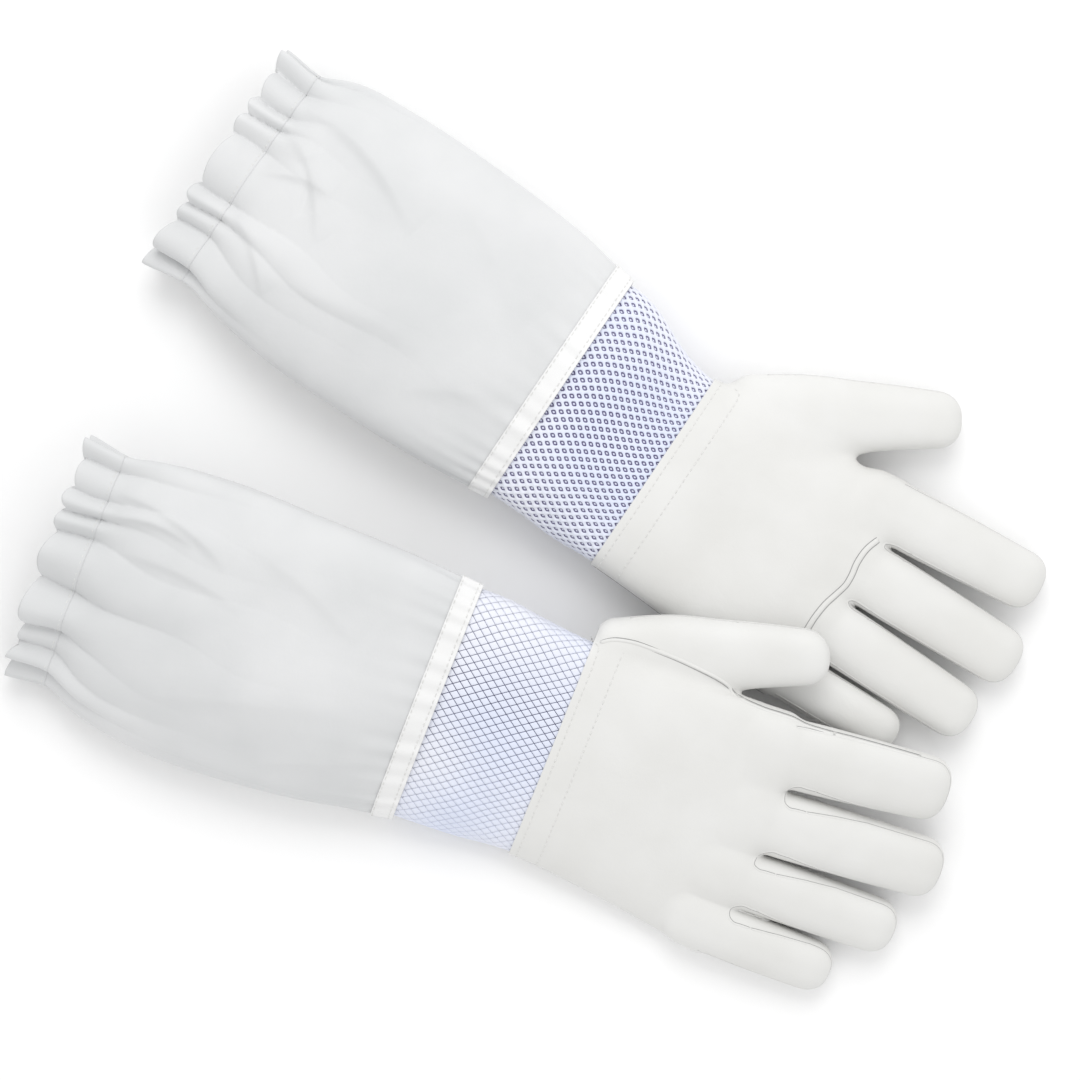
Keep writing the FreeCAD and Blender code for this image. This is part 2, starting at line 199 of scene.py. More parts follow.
class Tube:
    """A soft tube in a frame of its own, rounded at its far end.

    Its rows are along, side, up, half width, half depth and the power that squares its section.
    """

    def __init__(self, base, turn, rows, round_from, round_length, root=None):
        self.base, self.turn = np.array(base, float), turn
        self.at = np.linspace(min(rows)[0], max(rows)[0], 600)
        self.table = smooth_curve(sorted(rows), self.at)
        self.round_from, self.round_length = round_from, round_length
        self.root = root

    def row(self, along):
        """Side, up, half width, half depth and power at a distance along."""
        return [np.interp(along, self.at, self.table[:, i]) for i in range(5)]

    def local(self, points):
        return (points - self.base) @ self.turn

    def outward(self, points):
        return np.asarray(points, float) @ self.turn.T + self.base

    def distance(self, points):
        """Roughly the distance to the wall: negative inside."""
        q = self.local(points)
        side, up, half, depth, p = self.row(q[:, 0])
        parts = [
            (np.abs(q[:, 1] - side) / half, half),
            (np.abs(q[:, 2] - up) / depth, depth),
            (np.clip(q[:, 0] - self.round_from, 0, None) / self.round_length, self.round_length),
        ]
        if self.root:
            parts.append((np.clip(self.root[0] - q[:, 0], 0, None) / self.root[1], self.root[1]))
        total, slope = np.full(len(q), 1e-9), np.zeros(len(q))
        for share, length in parts:
            lesser = np.maximum(share, 1e-6) ** (p - 1)
            total += lesser * share
            slope += (lesser / length) ** 2
        g = total ** (1 / p)
        return (g - 1) / np.maximum(np.sqrt(slope) * g ** (1 - p), 0.02)

    def surface(self, along, angle):
        """Points of the wall at a distance along and an angle round, 0 facing +Y."""
        along = np.asarray(along, float)
        side, up, half, depth, p = self.row(along)
        over = np.clip((along - self.round_from) / self.round_length, 0, 1)
        shrink = (1 - over**p) ** (1 / p)
        y = side + half * shrink * rounded(np.cos(angle), 2 / p)
        z = up + depth * shrink * rounded(np.sin(angle), 2 / p)
        return self.outward(np.column_stack([along, y, z]))


def stall_tube(hand, digit):
    """The tube of one stall, whose root reaches back into the palm."""
    base, yaw, droop, length, wide, deep = STALLS[hand][digit]
    turn = turn_about("Z", yaw) @ turn_about("Y", droop)
    half, depth = wide / 2, deep / 2
    if digit == "thumb":
        rows = [
            (-62, -1.0, 1.0 - base[2] * 0.6, 21.0, depth, 2.4),
            (-20, -0.5, 0.0, 21.5, depth + 0.8, 2.4),
            (2, 0.0, 0.0, half + 0.8, depth + 0.3, 2.4),
            (22, 0.2, 0.0, half - 1.2, depth - 0.3, 2.4),
            (length, -0.8, 0.0, half * 0.76, depth * 0.82, 2.4),
        ]
        return Tube(base, turn, rows, length - 13.0, 13.0, (-52.0, 12.0))
    rows = [
        (-26, 0.0, 0.0, half * 0.98, depth * 0.84, 2.6),
        (-10, 0.0, 0.0, half * 0.99, depth * 0.95, 2.5),
        (6, 0.0, 0.0, half, depth, 2.45),
        (length * 0.5, 0.0, 0.4, half * 0.965, depth * 0.99, 2.45),
        (length, 0.0, 0.0, half * 0.90, depth * 0.86, 2.5),
    ]
    return Tube(base, turn, rows, length - 13.5, 13.5, (-16.0, 14.0))


def palm_tube(hand):
    """The tube of the hand from the wrist to the knuckles."""
    end = PALMS[hand][-1][0] - 8.0
    return Tube((0, 0, 0), np.eye(3), PALMS[hand], end - 14.0, 14.0)


def smooth_min(a, b, reach):
    """The lower of two fields, rounded where they cross."""
    h = np.clip(0.5 + 0.5 * (b - a) / reach, 0, 1)
    return b * (1 - h) + a * h - reach * h * (1 - h)


class Skin:
    """The outer face of a glove's leather: palm and stalls grown into one."""

    def __init__(self, hand):
        self.hand = hand
        self.palm_side = 1 if hand == "left" else -1
        self.palm = palm_tube(hand)
        self.stalls = {digit: stall_tube(hand, digit) for digit in DIGITS}

    def distance(self, points):
        fingers = self.stalls["index"].distance(points)
        for digit in FINGERS[1:]:
            fingers = smooth_min(fingers, self.stalls[digit].distance(points), 0.9)
        whole = smooth_min(self.palm.distance(points), fingers, 5.0)
        return smooth_min(whole, self.stalls["thumb"].distance(points), THUMB_BLEND[self.hand])

    def slope(self, points, step=0.3):
        """The direction straight out of the skin, and its steepness."""
        found = np.empty_like(points)
        for axis in range(3):
            move = np.zeros(3)
            move[axis] = step
            found[:, axis] = (self.distance(points + move) - self.distance(points - move)) / (2 * step)
        return found

    def normals(self, points):
        return unit(self.slope(points))

    def palm_normals(self, along, angle):
        """Normals of the palm's own tube."""
        step = 0.01
        a = self.palm.surface(along, angle + step) - self.palm.surface(along, angle - step)
        b = self.palm.surface(along + 0.5, angle) - self.palm.surface(along - 0.5, angle)
        out = unit(np.cross(b, a))
        facing = ((self.palm.surface(along, angle) - [0, 0, 2]) * [0, 1, 1] * out).sum(1)
        return out * np.sign(facing)[:, None]

    def snap(self, points, rounds=4):
        """The nearest points of the skin."""
        points = np.array(points, float)
        for _ in range(rounds):
            g = self.slope(points)
            points -= self.distance(points)[:, None] * g / np.maximum((g * g).sum(1, keepdims=True), 0.05)
        return points


# ---- Meshes ----


def surface_net(field, low, high, step):
    """A closed mesh of quads round the inside of a field."""
    axes = [np.arange(low[i], high[i] + step, step) for i in range(3)]
    grid = np.stack(np.meshgrid(*axes, indexing="ij"), -1)
    shape = grid.shape[:3]
    value = field(grid.reshape(-1, 3)).reshape(shape)
    inside = value < 0
    corners = [(i, j, k) for i in (0, 1) for j in (0, 1) for k in (0, 1)]
    cells = tuple(n - 1 for n in shape)

    def corner(array, c):
        return array[c[0] : c[0] + cells[0], c[1] : c[1] + cells[1], c[2] : c[2] + cells[2]]

    count = sum(corner(inside, c).astype(int) for c in corners)
    mixed = (count > 0) & (count < 8)
    number = -np.ones(cells, int)
    number[mixed] = np.arange(mixed.sum())
    total, hits = np.zeros((mixed.sum(), 3)), np.zeros(mixed.sum())
    for a in corners:
        for axis in range(3):
            if a[axis]:
                continue
            b = tuple(1 if i == axis else a[i] for i in range(3))
            va, vb = corner(value, a)[mixed], corner(value, b)[mixed]
            cross = (va < 0) != (vb < 0)
            t = np.where(cross, va / np.where(cross, va - vb, 1), 0)[:, None]
            pa, pb = corner(grid, a)[mixed], corner(grid, b)[mixed]
            total += np.where(cross[:, None], pa + (pb - pa) * t, 0)
            hits += cross
    verts = total / hits[:, None]
    quads = []
    for axis in range(3):
        u, v = (axis + 1) % 3, (axis + 2) % 3
        first = [slice(0, n - 1) if i == axis else slice(1, n - 1) for i, n in enumerate(shape)]
        second = list(first)
        second[axis] = slice(1, shape[axis])
        a, b = inside[tuple(first)], inside[tuple(second)]
        for sign, flip in ((a & ~b, False), (~a & b, True)):
            where = np.argwhere(sign)
            for i in range(3):
                if i != axis:
                    where[:, i] += 1
            ring = []
            for du, dv in ((1, 1), (0, 1), (0, 0), (1, 0)):
                cell = where.copy()
                cell[:, u] -= du
                cell[:, v] -= dv
                ring.append(number[cell[:, 0], cell[:, 1], cell[:, 2]])
            quad = np.column_stack(ring)
            quads.append(quad[:, ::-1] if flip else quad)
    return verts, np.vstack(quads)


def relax(skin, verts, quads, rounds):
    """Evens the quads out over the skin."""
    pairs = np.vstack([quads[:, [i, (i + 1) % 4]] for i in range(4)])
    pairs = np.vstack([pairs, pairs[:, ::-1]])
    weight = np.bincount(pairs[:, 0], minlength=len(verts)).astype(float)
    for _ in range(rounds):
        total = np.column_stack(
            [np.bincount(pairs[:, 0], verts[pairs[:, 1], i], minlength=len(verts)) for i in range(3)]
        )
        verts = verts + 0.6 * (total / weight[:, None] - verts)
        verts = skin.snap(verts, 1)
    return skin.snap(verts, 2)


def placed(name, data):
    """A new object in the scene."""
    thing = bpy.data.objects.new(name, data)
    bpy.context.scene.collection.objects.link(thing)
    return thing


def new_object(name, points, faces, glove):
    """A mesh object from points in a glove's frame."""
    mesh = bpy.data.meshes.new(name)
    mesh.from_pydata(glove.to_row(points).tolist(), [], [list(face) for face in faces])
    mesh.shade_smooth()
    return placed(name, mesh)


def thick(name, glove, verts, faces, normals, wall):
    """A sheet with a thickness: an outer face, an inner one and a rim, shaded by the given normals."""
    count = len(verts)
    faces = [tuple(int(i) for i in face) for face in faces]
    edges = {}
    for face in faces:
        for a, b in zip(face, face[1:] + face[:1]):
            edges[(a, b)] = edges.get((a, b), 0) + 1
    rim = [(a, b) for a, b in edges if (b, a) not in edges]
    points = np.vstack([verts, verts - normals * wall])
    solid = list(faces)
    solid += [tuple(i + count for i in face[::-1]) for face in faces]
    solid += [(b, a, a + count, b + count) for a, b in rim]
    piece = new_object(name, points, solid, glove)
    shown = np.vstack([glove.direction(normals), -glove.direction(normals)])
    mesh = piece.data
    loops = np.empty(len(mesh.loops), int)
    mesh.loops.foreach_get("vertex_index", loops)
    custom = shown[loops]
    flat = np.empty(len(mesh.polygons) * 3)
    mesh.polygons.foreach_get("normal", flat)
    flat = flat.reshape(-1, 3)
    start = sum(len(face) for face in solid[: 2 * len(faces)])
    for number in range(2 * len(faces), len(solid)):
        custom[start : start + 4] = flat[number]
        start += 4
    mesh.normals_split_custom_set(custom.tolist())
    return piece


def grid_faces(rows, columns):
    """Quads of a grid whose columns close on themselves."""
    faces = []
    for r in range(rows - 1):
        for c in range(columns):
            d = (c + 1) % columns
            faces.append((r * columns + c, r * columns + d, (r + 1) * columns + d, (r + 1) * columns + c))
    return faces


def set_uv(piece, values):
    """A UV map from one value pair per vertex."""
    layer = piece.data.uv_layers.new(name="cloth")
    loops = np.empty(len(piece.data.loops), int)
    piece.data.loops.foreach_get("vertex_index", loops)
    uv = np.asarray(values)[loops]
    layer.data.foreach_set("uv", uv.astype(np.float32).ravel())


def sweep(path, radius, sides=8, flat=1.0, normals=None):
    """A tube of points along a path, with closed ends. Flat below 1 makes it lower than wide."""
    path = np.asarray(path, float)
    forward = unit(np.gradient(path, axis=0))
    up = np.asarray(normals, float) if normals is not None else np.tile([0, 0, 1.0], (len(path), 1))
    side = unit(np.cross(forward, up))
    up = np.cross(side, forward)
    angle = np.arange(sides) * 2 * math.pi / sides
    scale = np.ones(len(path))
    scale[[0, -1]] = 0.45
    ring = side[:, None] * np.cos(angle)[None, :, None] + up[:, None] * np.sin(angle)[None, :, None] * flat
    points = (path[:, None] + ring * radius * scale[:, None, None]).reshape(-1, 3)
    faces = grid_faces(len(path), sides)
    faces.append(tuple(range(sides))[::-1])
    last = (len(path) - 1) * sides
    faces.append(tuple(range(last, last + sides)))
    return points, faces


def shell(glove, name, outer, inner, across, along):
    """A tube of cloth with both faces and closed ends.

    Its UV map is the flat cloth: columns stand across apart, and along holds each row's place.
    """
    count, rows = len(outer), len(along)
    columns = count // rows
    faces, where = [], []
    for r in range(rows - 1):
        for c in range(columns):
            d = (c + 1) % columns
            quad = [(r, c), (r, d), (r + 1, d), (r + 1, c)]
            flat = [(r, c), (r, c + 1), (r + 1, c + 1), (r + 1, c)]
            faces.append(tuple(i * columns + j for i, j in quad[::-1]))
            where.append(flat[::-1])
            faces.append(tuple(i * columns + j + count for i, j in quad))
            where.append(flat)
    for r, flip in ((0, False), (rows - 1, True)):
        for c in range(columns):
            d = (c + 1) % columns
            ring = (r * columns + c, r * columns + d, r * columns + d + count, r * columns + c + count)
            flat = [(r, c), (r, c + 1), (r, c + 1), (r, c)]
            faces.append(ring[::-1] if flip else ring)
            where.append(flat[::-1] if flip else flat)
    piece = new_object(name, np.vstack([outer, inner]), faces, glove)
    layer = piece.data.uv_layers.new(name="cloth")
    values = np.array([(j * across, along[i]) for flat in where for i, j in flat], np.float32)
    layer.data.foreach_set("uv", values.ravel())
    return piece


def joined(parts):
    """Several (points, faces) as one."""
    points, faces, start = [], [], 0
    for part_points, part_faces in parts:
        points.append(part_points)
        faces += [tuple(i + start for i in face) for face in part_faces]
        start += len(part_points)
    return np.vstack(points), faces


def resample(path, step):
    """Even points along a smooth curve through the path's points."""
    path = np.asarray(path, float)
    along = lengths(path)
    count = max(3, int(round(along[-1] / step)) + 1)
    places = np.linspace(0, along[-1], count)
    return smooth_curve(np.column_stack([along, path]), places)


# ---- Materials ----


def start_material(name, color, roughness, sheen=0.0):
    material = bpy.data.materials.new(name)
    material.use_nodes = True
    nodes, links = material.node_tree.nodes, material.node_tree.links
    shader = nodes["Principled BSDF"]
    shader.inputs["Base Color"].default_value = (*color, 1)
    shader.inputs["Roughness"].default_value = roughness
    shader.inputs["Sheen Weight"].default_value = sheen
    shader.inputs["Sheen Roughness"].default_value = 0.4
    shader.inputs["Specular IOR Level"].default_value = 0.35
    return material, nodes, links, shader


def mottled(nodes, links, source, tones, scale, detail=3.0):
    """Colour that drifts softly between tones over the surface."""
    noise = nodes.new("ShaderNodeTexNoise")
    noise.inputs["Scale"].default_value = scale
    noise.inputs["Detail"].default_value = detail
    links.new(source, noise.inputs["Vector"])
    ramp = nodes.new("ShaderNodeValToRGB")
    ramp.color_ramp.elements[0].position = 0.3
    ramp.color_ramp.elements[1].position = 0.7
    ramp.color_ramp.elements[0].color = (*tones[0], 1)
    ramp.color_ramp.elements[1].color = (*tones[1], 1)
    links.new(noise.outputs["Fac"], ramp.inputs["Fac"])
    return ramp.outputs["Color"]


def bump_chain(nodes, links, shader, layers):
    """Stacks bumps: each is (height socket, strength, distance in metres)."""
    normal = None
    for height, strength, distance in layers:
        bump = nodes.new("ShaderNodeBump")
        bump.inputs["Strength"].default_value = strength
        bump.inputs["Distance"].default_value = distance
        links.new(height, bump.inputs["Height"])
        if normal:
            links.new(normal, bump.inputs["Normal"])
        normal = bump.outputs["Normal"]
    links.new(normal, shader.inputs["Normal"])


def texture(nodes, links, kind, source, **inputs):
    """A texture node read at a coordinate."""
    node = nodes.new(kind)
    for name, value in inputs.items():
        node.inputs[name.replace("_", " ")].default_value = value
    links.new(source, node.inputs["Vector"])
    return node


def leather_material():
    material, nodes, links, shader = start_material("glove_leather", (0.71, 0.71, 0.69), 0.58, 0.08)
    place = nodes.new("ShaderNodeTexCoord").outputs["Object"]
    tone = mottled(nodes, links, place, ((0.695, 0.692, 0.672), (0.745, 0.744, 0.73)), 22.0)
    links.new(tone, shader.inputs["Base Color"])
    grain = texture(nodes, links, "ShaderNodeTexVoronoi", place, Scale=1150.0)
    pores = texture(nodes, links, "ShaderNodeTexNoise", place, Scale=2400.0, Detail=3.0)
    soft = texture(nodes, links, "ShaderNodeTexNoise", place, Scale=65.0, Detail=4.0, Distortion=0.6)
    layers = [
        (soft.outputs["Fac"], 0.25, 0.0012),
        (grain.outputs["Distance"], 0.16, 0.00012),
        (pores.outputs["Fac"], 0.12, 0.00008),
    ]
    bump_chain(nodes, links, shader, layers)
    return material


def woven_material(name, tones, roughness, thread_mm, strength, creases=0.3):
    """Plain weave on the cloth's own UV map, whose units are millimetres."""
    material, nodes, links, shader = start_material(name, tones[1], roughness, 0.15)
    coords = nodes.new("ShaderNodeTexCoord")
    tone = mottled(nodes, links, coords.outputs["Object"], tones, 16.0)
    weave = []
    for direction in ("X", "Y"):
        wave = nodes.new("ShaderNodeTexWave")
        wave.wave_type = "BANDS"
        wave.bands_direction = direction
        wave.wave_profile = "SIN"
        wave.inputs["Scale"].default_value = 0.314 / thread_mm
        wave.inputs["Distortion"].default_value = 0.35
        wave.inputs["Detail"].default_value = 1.0
        links.new(coords.outputs["UV"], wave.inputs["Vector"])
        weave.append(wave.outputs["Fac"])
    both = nodes.new("ShaderNodeMath")
    both.operation = "MULTIPLY"
    links.new(weave[0], both.inputs[0])
    links.new(weave[1], both.inputs[1])
    shade = nodes.new("ShaderNodeMixRGB")
    shade.blend_type = "MULTIPLY"
    shade.inputs["Fac"].default_value = 0.10
    links.new(tone, shade.inputs["Color1"])
    links.new(both.outputs[0], shade.inputs["Color2"])
    links.new(shade.outputs[0], shader.inputs["Base Color"])
    crease = texture(nodes, links, "ShaderNodeTexNoise", coords.outputs["Object"], Scale=48.0, Detail=5.0)
    slub = texture(nodes, links, "ShaderNodeTexNoise", coords.outputs["Object"], Scale=700.0, Detail=2.0)
    layers = [
        (crease.outputs["Fac"], creases, 0.0015),
        (slub.outputs["Fac"], 0.10, 0.0002),
        (both.outputs[0], strength, 0.00012),
    ]
    bump_chain(nodes, links, shader, layers)
    return material


def thread_material(name, color):
    """Twisted sewing thread; the same make also gives the dark grey cords of painted shadow laid beside the
    seams.
    """
    material, nodes, links, shader = start_material(name, color, 0.6, 0.2)
    place = nodes.new("ShaderNodeTexCoord").outputs["Object"]
    tone = mottled(nodes, links, place, (tuple(c * 0.85 for c in color), color), 900.0)
    links.new(tone, shader.inputs["Base Color"])
    twist = texture(nodes, links, "ShaderNodeTexNoise", place, Scale=3000.0, Detail=1.0)
    bump_chain(nodes, links, shader, [(twist.outputs["Fac"], 0.3, 0.0001)])
    return material


def net_material():
    """The outer net's yarn: white with a blue cast that comes and goes."""
    material, nodes, links, shader = start_material("net_yarn", (0.78, 0.81, 0.93), 0.5, 0.1)
    place = nodes.new("ShaderNodeTexCoord").outputs["Object"]
    tone = mottled(nodes, links, place, ((0.80, 0.81, 0.87), (0.70, 0.745, 0.885)), 14.0, 1.0)
    links.new(tone, shader.inputs["Base Color"])
    yarn = texture(nodes, links, "ShaderNodeTexNoise", place, Scale=2600.0, Detail=2.0)
    bump_chain(nodes, links, shader, [(yarn.outputs["Fac"], 0.35, 0.0002)])
    return material


def backing_material(name, light, dark, dark_from, dark_to):
    """The layer under the net. Its UV map counts the net's cells, and each hole shows a ring of painted
    shade in a navy tint.
    """
    material, nodes, links, shader = start_material(name, light, 0.7, 0.1)
    uv = nodes.new("ShaderNodeTexCoord").outputs["UV"]
    split = nodes.new("ShaderNodeSeparateXYZ")
    links.new(uv, split.inputs[0])

    def math_node(kind, a, b=None, value=None):
        node = nodes.new("ShaderNodeMath")
        node.operation = kind
        links.new(a, node.inputs[0])
        if b is not None:
            links.new(b, node.inputs[1])
        if value is not None:
            node.inputs[1].default_value = value
        return node.outputs[0]

    spans = []
    for kind in ("ADD", "SUBTRACT"):
        total = math_node(kind, split.outputs[0], split.outputs[1])
        part = math_node("FRACT", total)
        off = math_node("SUBTRACT", part, value=0.5)
        spans.append(math_node("ABSOLUTE", off))
    reach = math_node("MAXIMUM", spans[0], spans[1])
    ramp = nodes.new("ShaderNodeValToRGB")
    ramp.color_ramp.elements[0].position = 0.0
    ramp.color_ramp.elements[0].color = (*light, 1)
    ramp.color_ramp.elements[1].position = dark_from
    ramp.color_ramp.elements[1].color = (*light, 1)
    for place, color in ((dark_from + 0.02, dark), (dark_to, dark)):
        element = ramp.color_ramp.elements.new(place)
        element.color = (*color, 1)
    doubled = math_node("MULTIPLY", reach, value=2.0)
    links.new(doubled, ramp.inputs["Fac"])
    links.new(ramp.outputs["Color"], shader.inputs["Base Color"])
    noise = texture(nodes, links, "ShaderNodeTexNoise", uv, Scale=9.0, Detail=2.0)
    bump_chain(nodes, links, shader, [(noise.outputs["Fac"], 0.3, 0.0003)])
    return material


LEATHER_LOOK = leather_material()
CANVAS_LOOK = woven_material("sleeve_canvas", ((0.68, 0.69, 0.695), (0.755, 0.76, 0.765)), 0.75, 0.45, 0.25)
FACING_TONES = ((0.86, 0.86, 0.855), (0.91, 0.91, 0.91))
FACING_LOOK = woven_material("facing_cotton", FACING_TONES, 0.8, 0.35, 0.2, 0.15)
TAPE_LOOK = woven_material("seam_tape", ((0.74, 0.74, 0.73), (0.80, 0.80, 0.795)), 0.8, 0.4, 0.2, 0.2)
ELASTIC_LOOK = woven_material("elastic", ((0.82, 0.82, 0.81), (0.88, 0.88, 0.87)), 0.7, 0.9, 0.6, 0.1)
THREAD_LOOK = thread_material("white_thread", (0.78, 0.78, 0.76))
# painted shadow: dark grey cords laid beside the seams, the roll and the welt, where shade would fall
SEAM_SHADE_LOOK = thread_material("seam_shadow", (0.30, 0.30, 0.30))
NET_LOOK = net_material()
# painted shade: the dark navy rings that the backings paint round each net hole, standing for the shadow
# inside the holes; the right glove uses a darker copy
HOLE_SHADE = (0.13, 0.115, 0.22)
BACK_LOOKS = {
    "left": backing_material("net_backing_left", (0.66, 0.68, 0.80), HOLE_SHADE, 0.24, 0.46),
    "right": backing_material("net_backing_right", (0.66, 0.70, 0.82), (0.10, 0.09, 0.19), 0.62, 0.70),
}
FINE_LOOK = woven_material("fine_net", ((0.50, 0.52, 0.66), (0.62, 0.64, 0.78)), 0.8, 0.8, 0.5, 0.1)


def paint(piece, look):
    piece.data.materials.clear()
    piece.data.materials.append(look)


# ---- Attaching pieces to the frame's bodies ----


def bend_span(glove, skin, digit):
    """Where a stall starts and stops bending, in the row's frame."""
    start, stall = cut_of(digit), skin.stalls[digit]
    ends = stall.outward([(start, 0, 0), (start + (22.0 if digit == "thumb" else BEND), 0, 0)])
    return glove.to_row(ends)


def attach(piece, glove, skin, host):
    """Ties a piece to the hand or the gauntlet; a piece of the band or of a stall only has its transform
    baked into its mesh.
    """
    hand = glove.hand
    if host in ("hand", "gauntlet"):
        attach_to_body(piece, f"{hand}_{host}")
        return
    if host == "band":
        start, end = glove.to_row([(0, 0, 0), (-BAND, 0, 0)])
        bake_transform(piece)
        return
    start, end = bend_span(glove, skin, host)
    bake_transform(piece)


def dress(piece, look, slot, glove, skin, host, *nodes):
    """Gives a piece its material and, through attach, its body or a baked transform, and hides the CAD
    nodes that it stands for.
    """
    paint(piece, look)
    attach(piece, glove, skin, host)
    if nodes:
        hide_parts(*[f"{glove.hand}_{node}" for node in nodes])


# ---- The leather ----

NET_STEP = 1.4


def near_stall(stall, points, start, spread):
    """Which points lie in a stall's path, past a distance along it."""
    q = stall.local(points)
    side, up, half, depth, _ = stall.row(q[:, 0])
    beside = np.abs(q[:, 1] - side) < half + spread
    level = np.abs(q[:, 2] - up) < depth + 3
    return beside & level & (q[:, 0] > start)


def cut_leather(verts, quads, stalls):
    """Cuts the skin at the wrist seam and across each stall. Returns {host: (points, faces)}."""
    bm = bmesh.new()
    for point in verts:
        bm.verts.new(point)
    bm.verts.ensure_lookup_table()
    for quad in quads:
        bm.faces.new([bm.verts[i] for i in quad])
    everything = bm.verts[:] + bm.edges[:] + bm.faces[:]
    bmesh.ops.bisect_plane(bm, geom=everything, plane_co=(0, 0, 0), plane_no=(-1, 0, 0), clear_outer=True)
    for digit, stall in stalls.items():
        start = cut_of(digit)
        centres = np.array([face.calc_center_median() for face in bm.faces])
        chosen = near_stall(stall, centres, start - 8, 0.9)
        faces = [face for face, take in zip(bm.faces[:], chosen) if take]
        geom = list({v for f in faces for v in f.verts}) + list({e for f in faces for e in f.edges}) + faces
        place = stall.outward([(start, 0, 0)])[0]
        bmesh.ops.bisect_plane(bm, geom=geom, plane_co=place, plane_no=stall.turn[:, 0])
    bm.faces.ensure_lookup_table()
    bm.verts.index_update()
    points = np.array([v.co for v in bm.verts])
    centres = np.array([face.calc_center_median() for face in bm.faces])
    owner = np.full(len(centres), "hand", object)
    for digit, stall in stalls.items():
        owner[near_stall(stall, centres, cut_of(digit), 0.9)] = digit
    faces = [[v.index for v in face.verts] for face in bm.faces]
    bm.free()
    result = {}
    for host in ("hand",) + tuple(stalls):
        own = [face for face, who in zip(faces, owner) if who == host]
        used = sorted({i for face in own for i in face})
        back = {old: new for new, old in enumerate(used)}
        result[host] = (points[used], [tuple(back[i] for i in face) for face in own])
    return result


def make_leather(glove, skin):
    """The hand and the five stalls, in one flowing skin cut across each stall where it starts to bend."""
    low = (-6, -80, -34)
    high = (222, 130, 34)
    verts, quads = surface_net(skin.distance, low, high, NET_STEP)
    verts = relax(skin, verts, quads, 8)
    hand = glove.hand
    for host, (points, faces) in cut_leather(verts, quads, skin.stalls).items():
        normals = skin.normals(points)
        piece = thick(f"{hand}_{host}_leather", glove, points, faces, normals, LEATHER)
        if host == "hand":
            names = ("palm_panel", "back_panel", "thumb_gusset")
        elif host == "thumb":
            names = ("thumb_front", "thumb_back")
        else:
            names = (host + "_front", host + "_back", host + "_fourchettes")
        dress(piece, LEATHER_LOOK, "glove_leather", glove, skin, host, *names)


# ---- Lines on the leather: seams, welt and stitches ----


DROP = 30.0


def on_skin(skin, path, side, step):
    """A smooth line dropped onto the palm side (1) or the back side (-1) of the skin.

    A flat path starts at the middle of the palm, and a path in space at its own height.
    """
    path = np.asarray(path, float)
    flat = path.shape[1] == 2
    line = resample(np.column_stack([path, np.zeros(len(path))]) if flat else path, step)
    low = skin.palm.row(line[:, 0])[1] if flat else line[:, 2].copy()
    high = low + DROP * side
    for _ in range(26):
        half = (low + high) / 2
        trial = line.copy()
        trial[:, 2] = half
        inside = skin.distance(trial) < 0
        low = np.where(inside, half, low)
        high = np.where(inside, high, half)
    line[:, 2] = low
    return line, skin.normals(line)


def snapped(skin, path, step):
    """A line in space drawn onto the nearest skin."""
    line = skin.snap(resample(path, step), 6)
    return line, skin.normals(line)


def stitches(line, normals, length=2.6, gap=1.2, radius=0.32, lift=0.05):
    """Short rounded threads along a line."""
    along = lengths(line)
    parts = []
    at = gap
    while at + length < along[-1]:
        places = np.linspace(at, at + length, 5)
        dash = np.column_stack([np.interp(places, along, line[:, i]) for i in range(3)])
        up = np.column_stack([np.interp(places, along, normals[:, i]) for i in range(3)])
        bow = np.sin(np.linspace(0, math.pi, 5))[:, None] * 0.16 + lift
        parts.append(sweep(dash + up * bow, radius, 6, 0.75, up))
        at += length + gap
    return joined(parts)


def hosts_of(skin, line):
    """Which of the hand and the five stalls each point of a line lies on."""
    owner = np.full(len(line), "hand", object)
    for digit, stall in skin.stalls.items():
        owner[near_stall(stall, line, cut_of(digit), 1.2)] = digit
    return owner


class Trim:
    """Collects the thin lines of a glove's leather, host by host, and makes one piece of each kind."""

    def __init__(self, glove, skin):
        self.glove, self.skin = glove, skin
        self.parts = {}

    def add(self, kind, line, normals, build):
        """Cuts a line where it passes from one host to the next and builds each stretch."""
        owner = hosts_of(self.skin, line)
        start = 0
        for i in range(1, len(line) + 1):
            if i < len(line) and owner[i] == owner[start]:
                continue
            end = min(i + 1, len(line))
            if end - start >= 4:
                made = build(line[start:end], normals[start:end])
                self.parts.setdefault((kind, owner[start]), []).append(made)
            start = i

    def cord(self, kind, line, normals, radius, flat=0.8, sink=0.0):
        self.add(kind, line - normals * sink, normals, lambda l, n: sweep(l, radius, 8, flat, n))

    def seam(self, line, normals):
        """A seam: a soft ridge of turned-in leather with a fine dark cord of painted shadow beside it."""
        across = unit(np.cross(normals, np.gradient(line, axis=0)))
        self.cord("ridge", line, normals, 0.62, 0.45, 0.06)
        edge = line + across * 0.62
        self.cord("shadow", edge, normals, 0.17, 1.0, 0.02)

    def finish(self):
        looks = {"ridge": LEATHER_LOOK, "roll": LEATHER_LOOK, "shadow": SEAM_SHADE_LOOK, "stitch": THREAD_LOOK}
        for (kind, host), made in self.parts.items():
            points, faces = joined(made)
            piece = new_object(f"{self.glove.hand}_{host}_{kind}", points, faces, self.glove)
            dress(piece, looks[kind], "glove_leather", self.glove, self.skin, host)


# the welt across the base of the fingers, seen from above: (along, side)
WELT = [(115.5, 35.5), (113.2, 28.2), (112.9, 19.7), (114.3, 11.9), (114.6, 7.0), (113.3, 0.6)]
WELT += [(111.4, -7), (110.6, -15), (111, -27)]
# the rolled edge along the right hand's index side: (along, side, up)
ROLL = [(3, 63.5, 6), (8, 67.0, 5.6), (16, 69.3, 5), (33, 70.2, 4.8), (49, 69.6, 4.8), (62, 68.2, 4.6)]
ROLL += [(72, 66.4, 4.8), (84, 63.8, 5.4), (96, 62.6, 5.2), (108, 62.4, 4.8)]
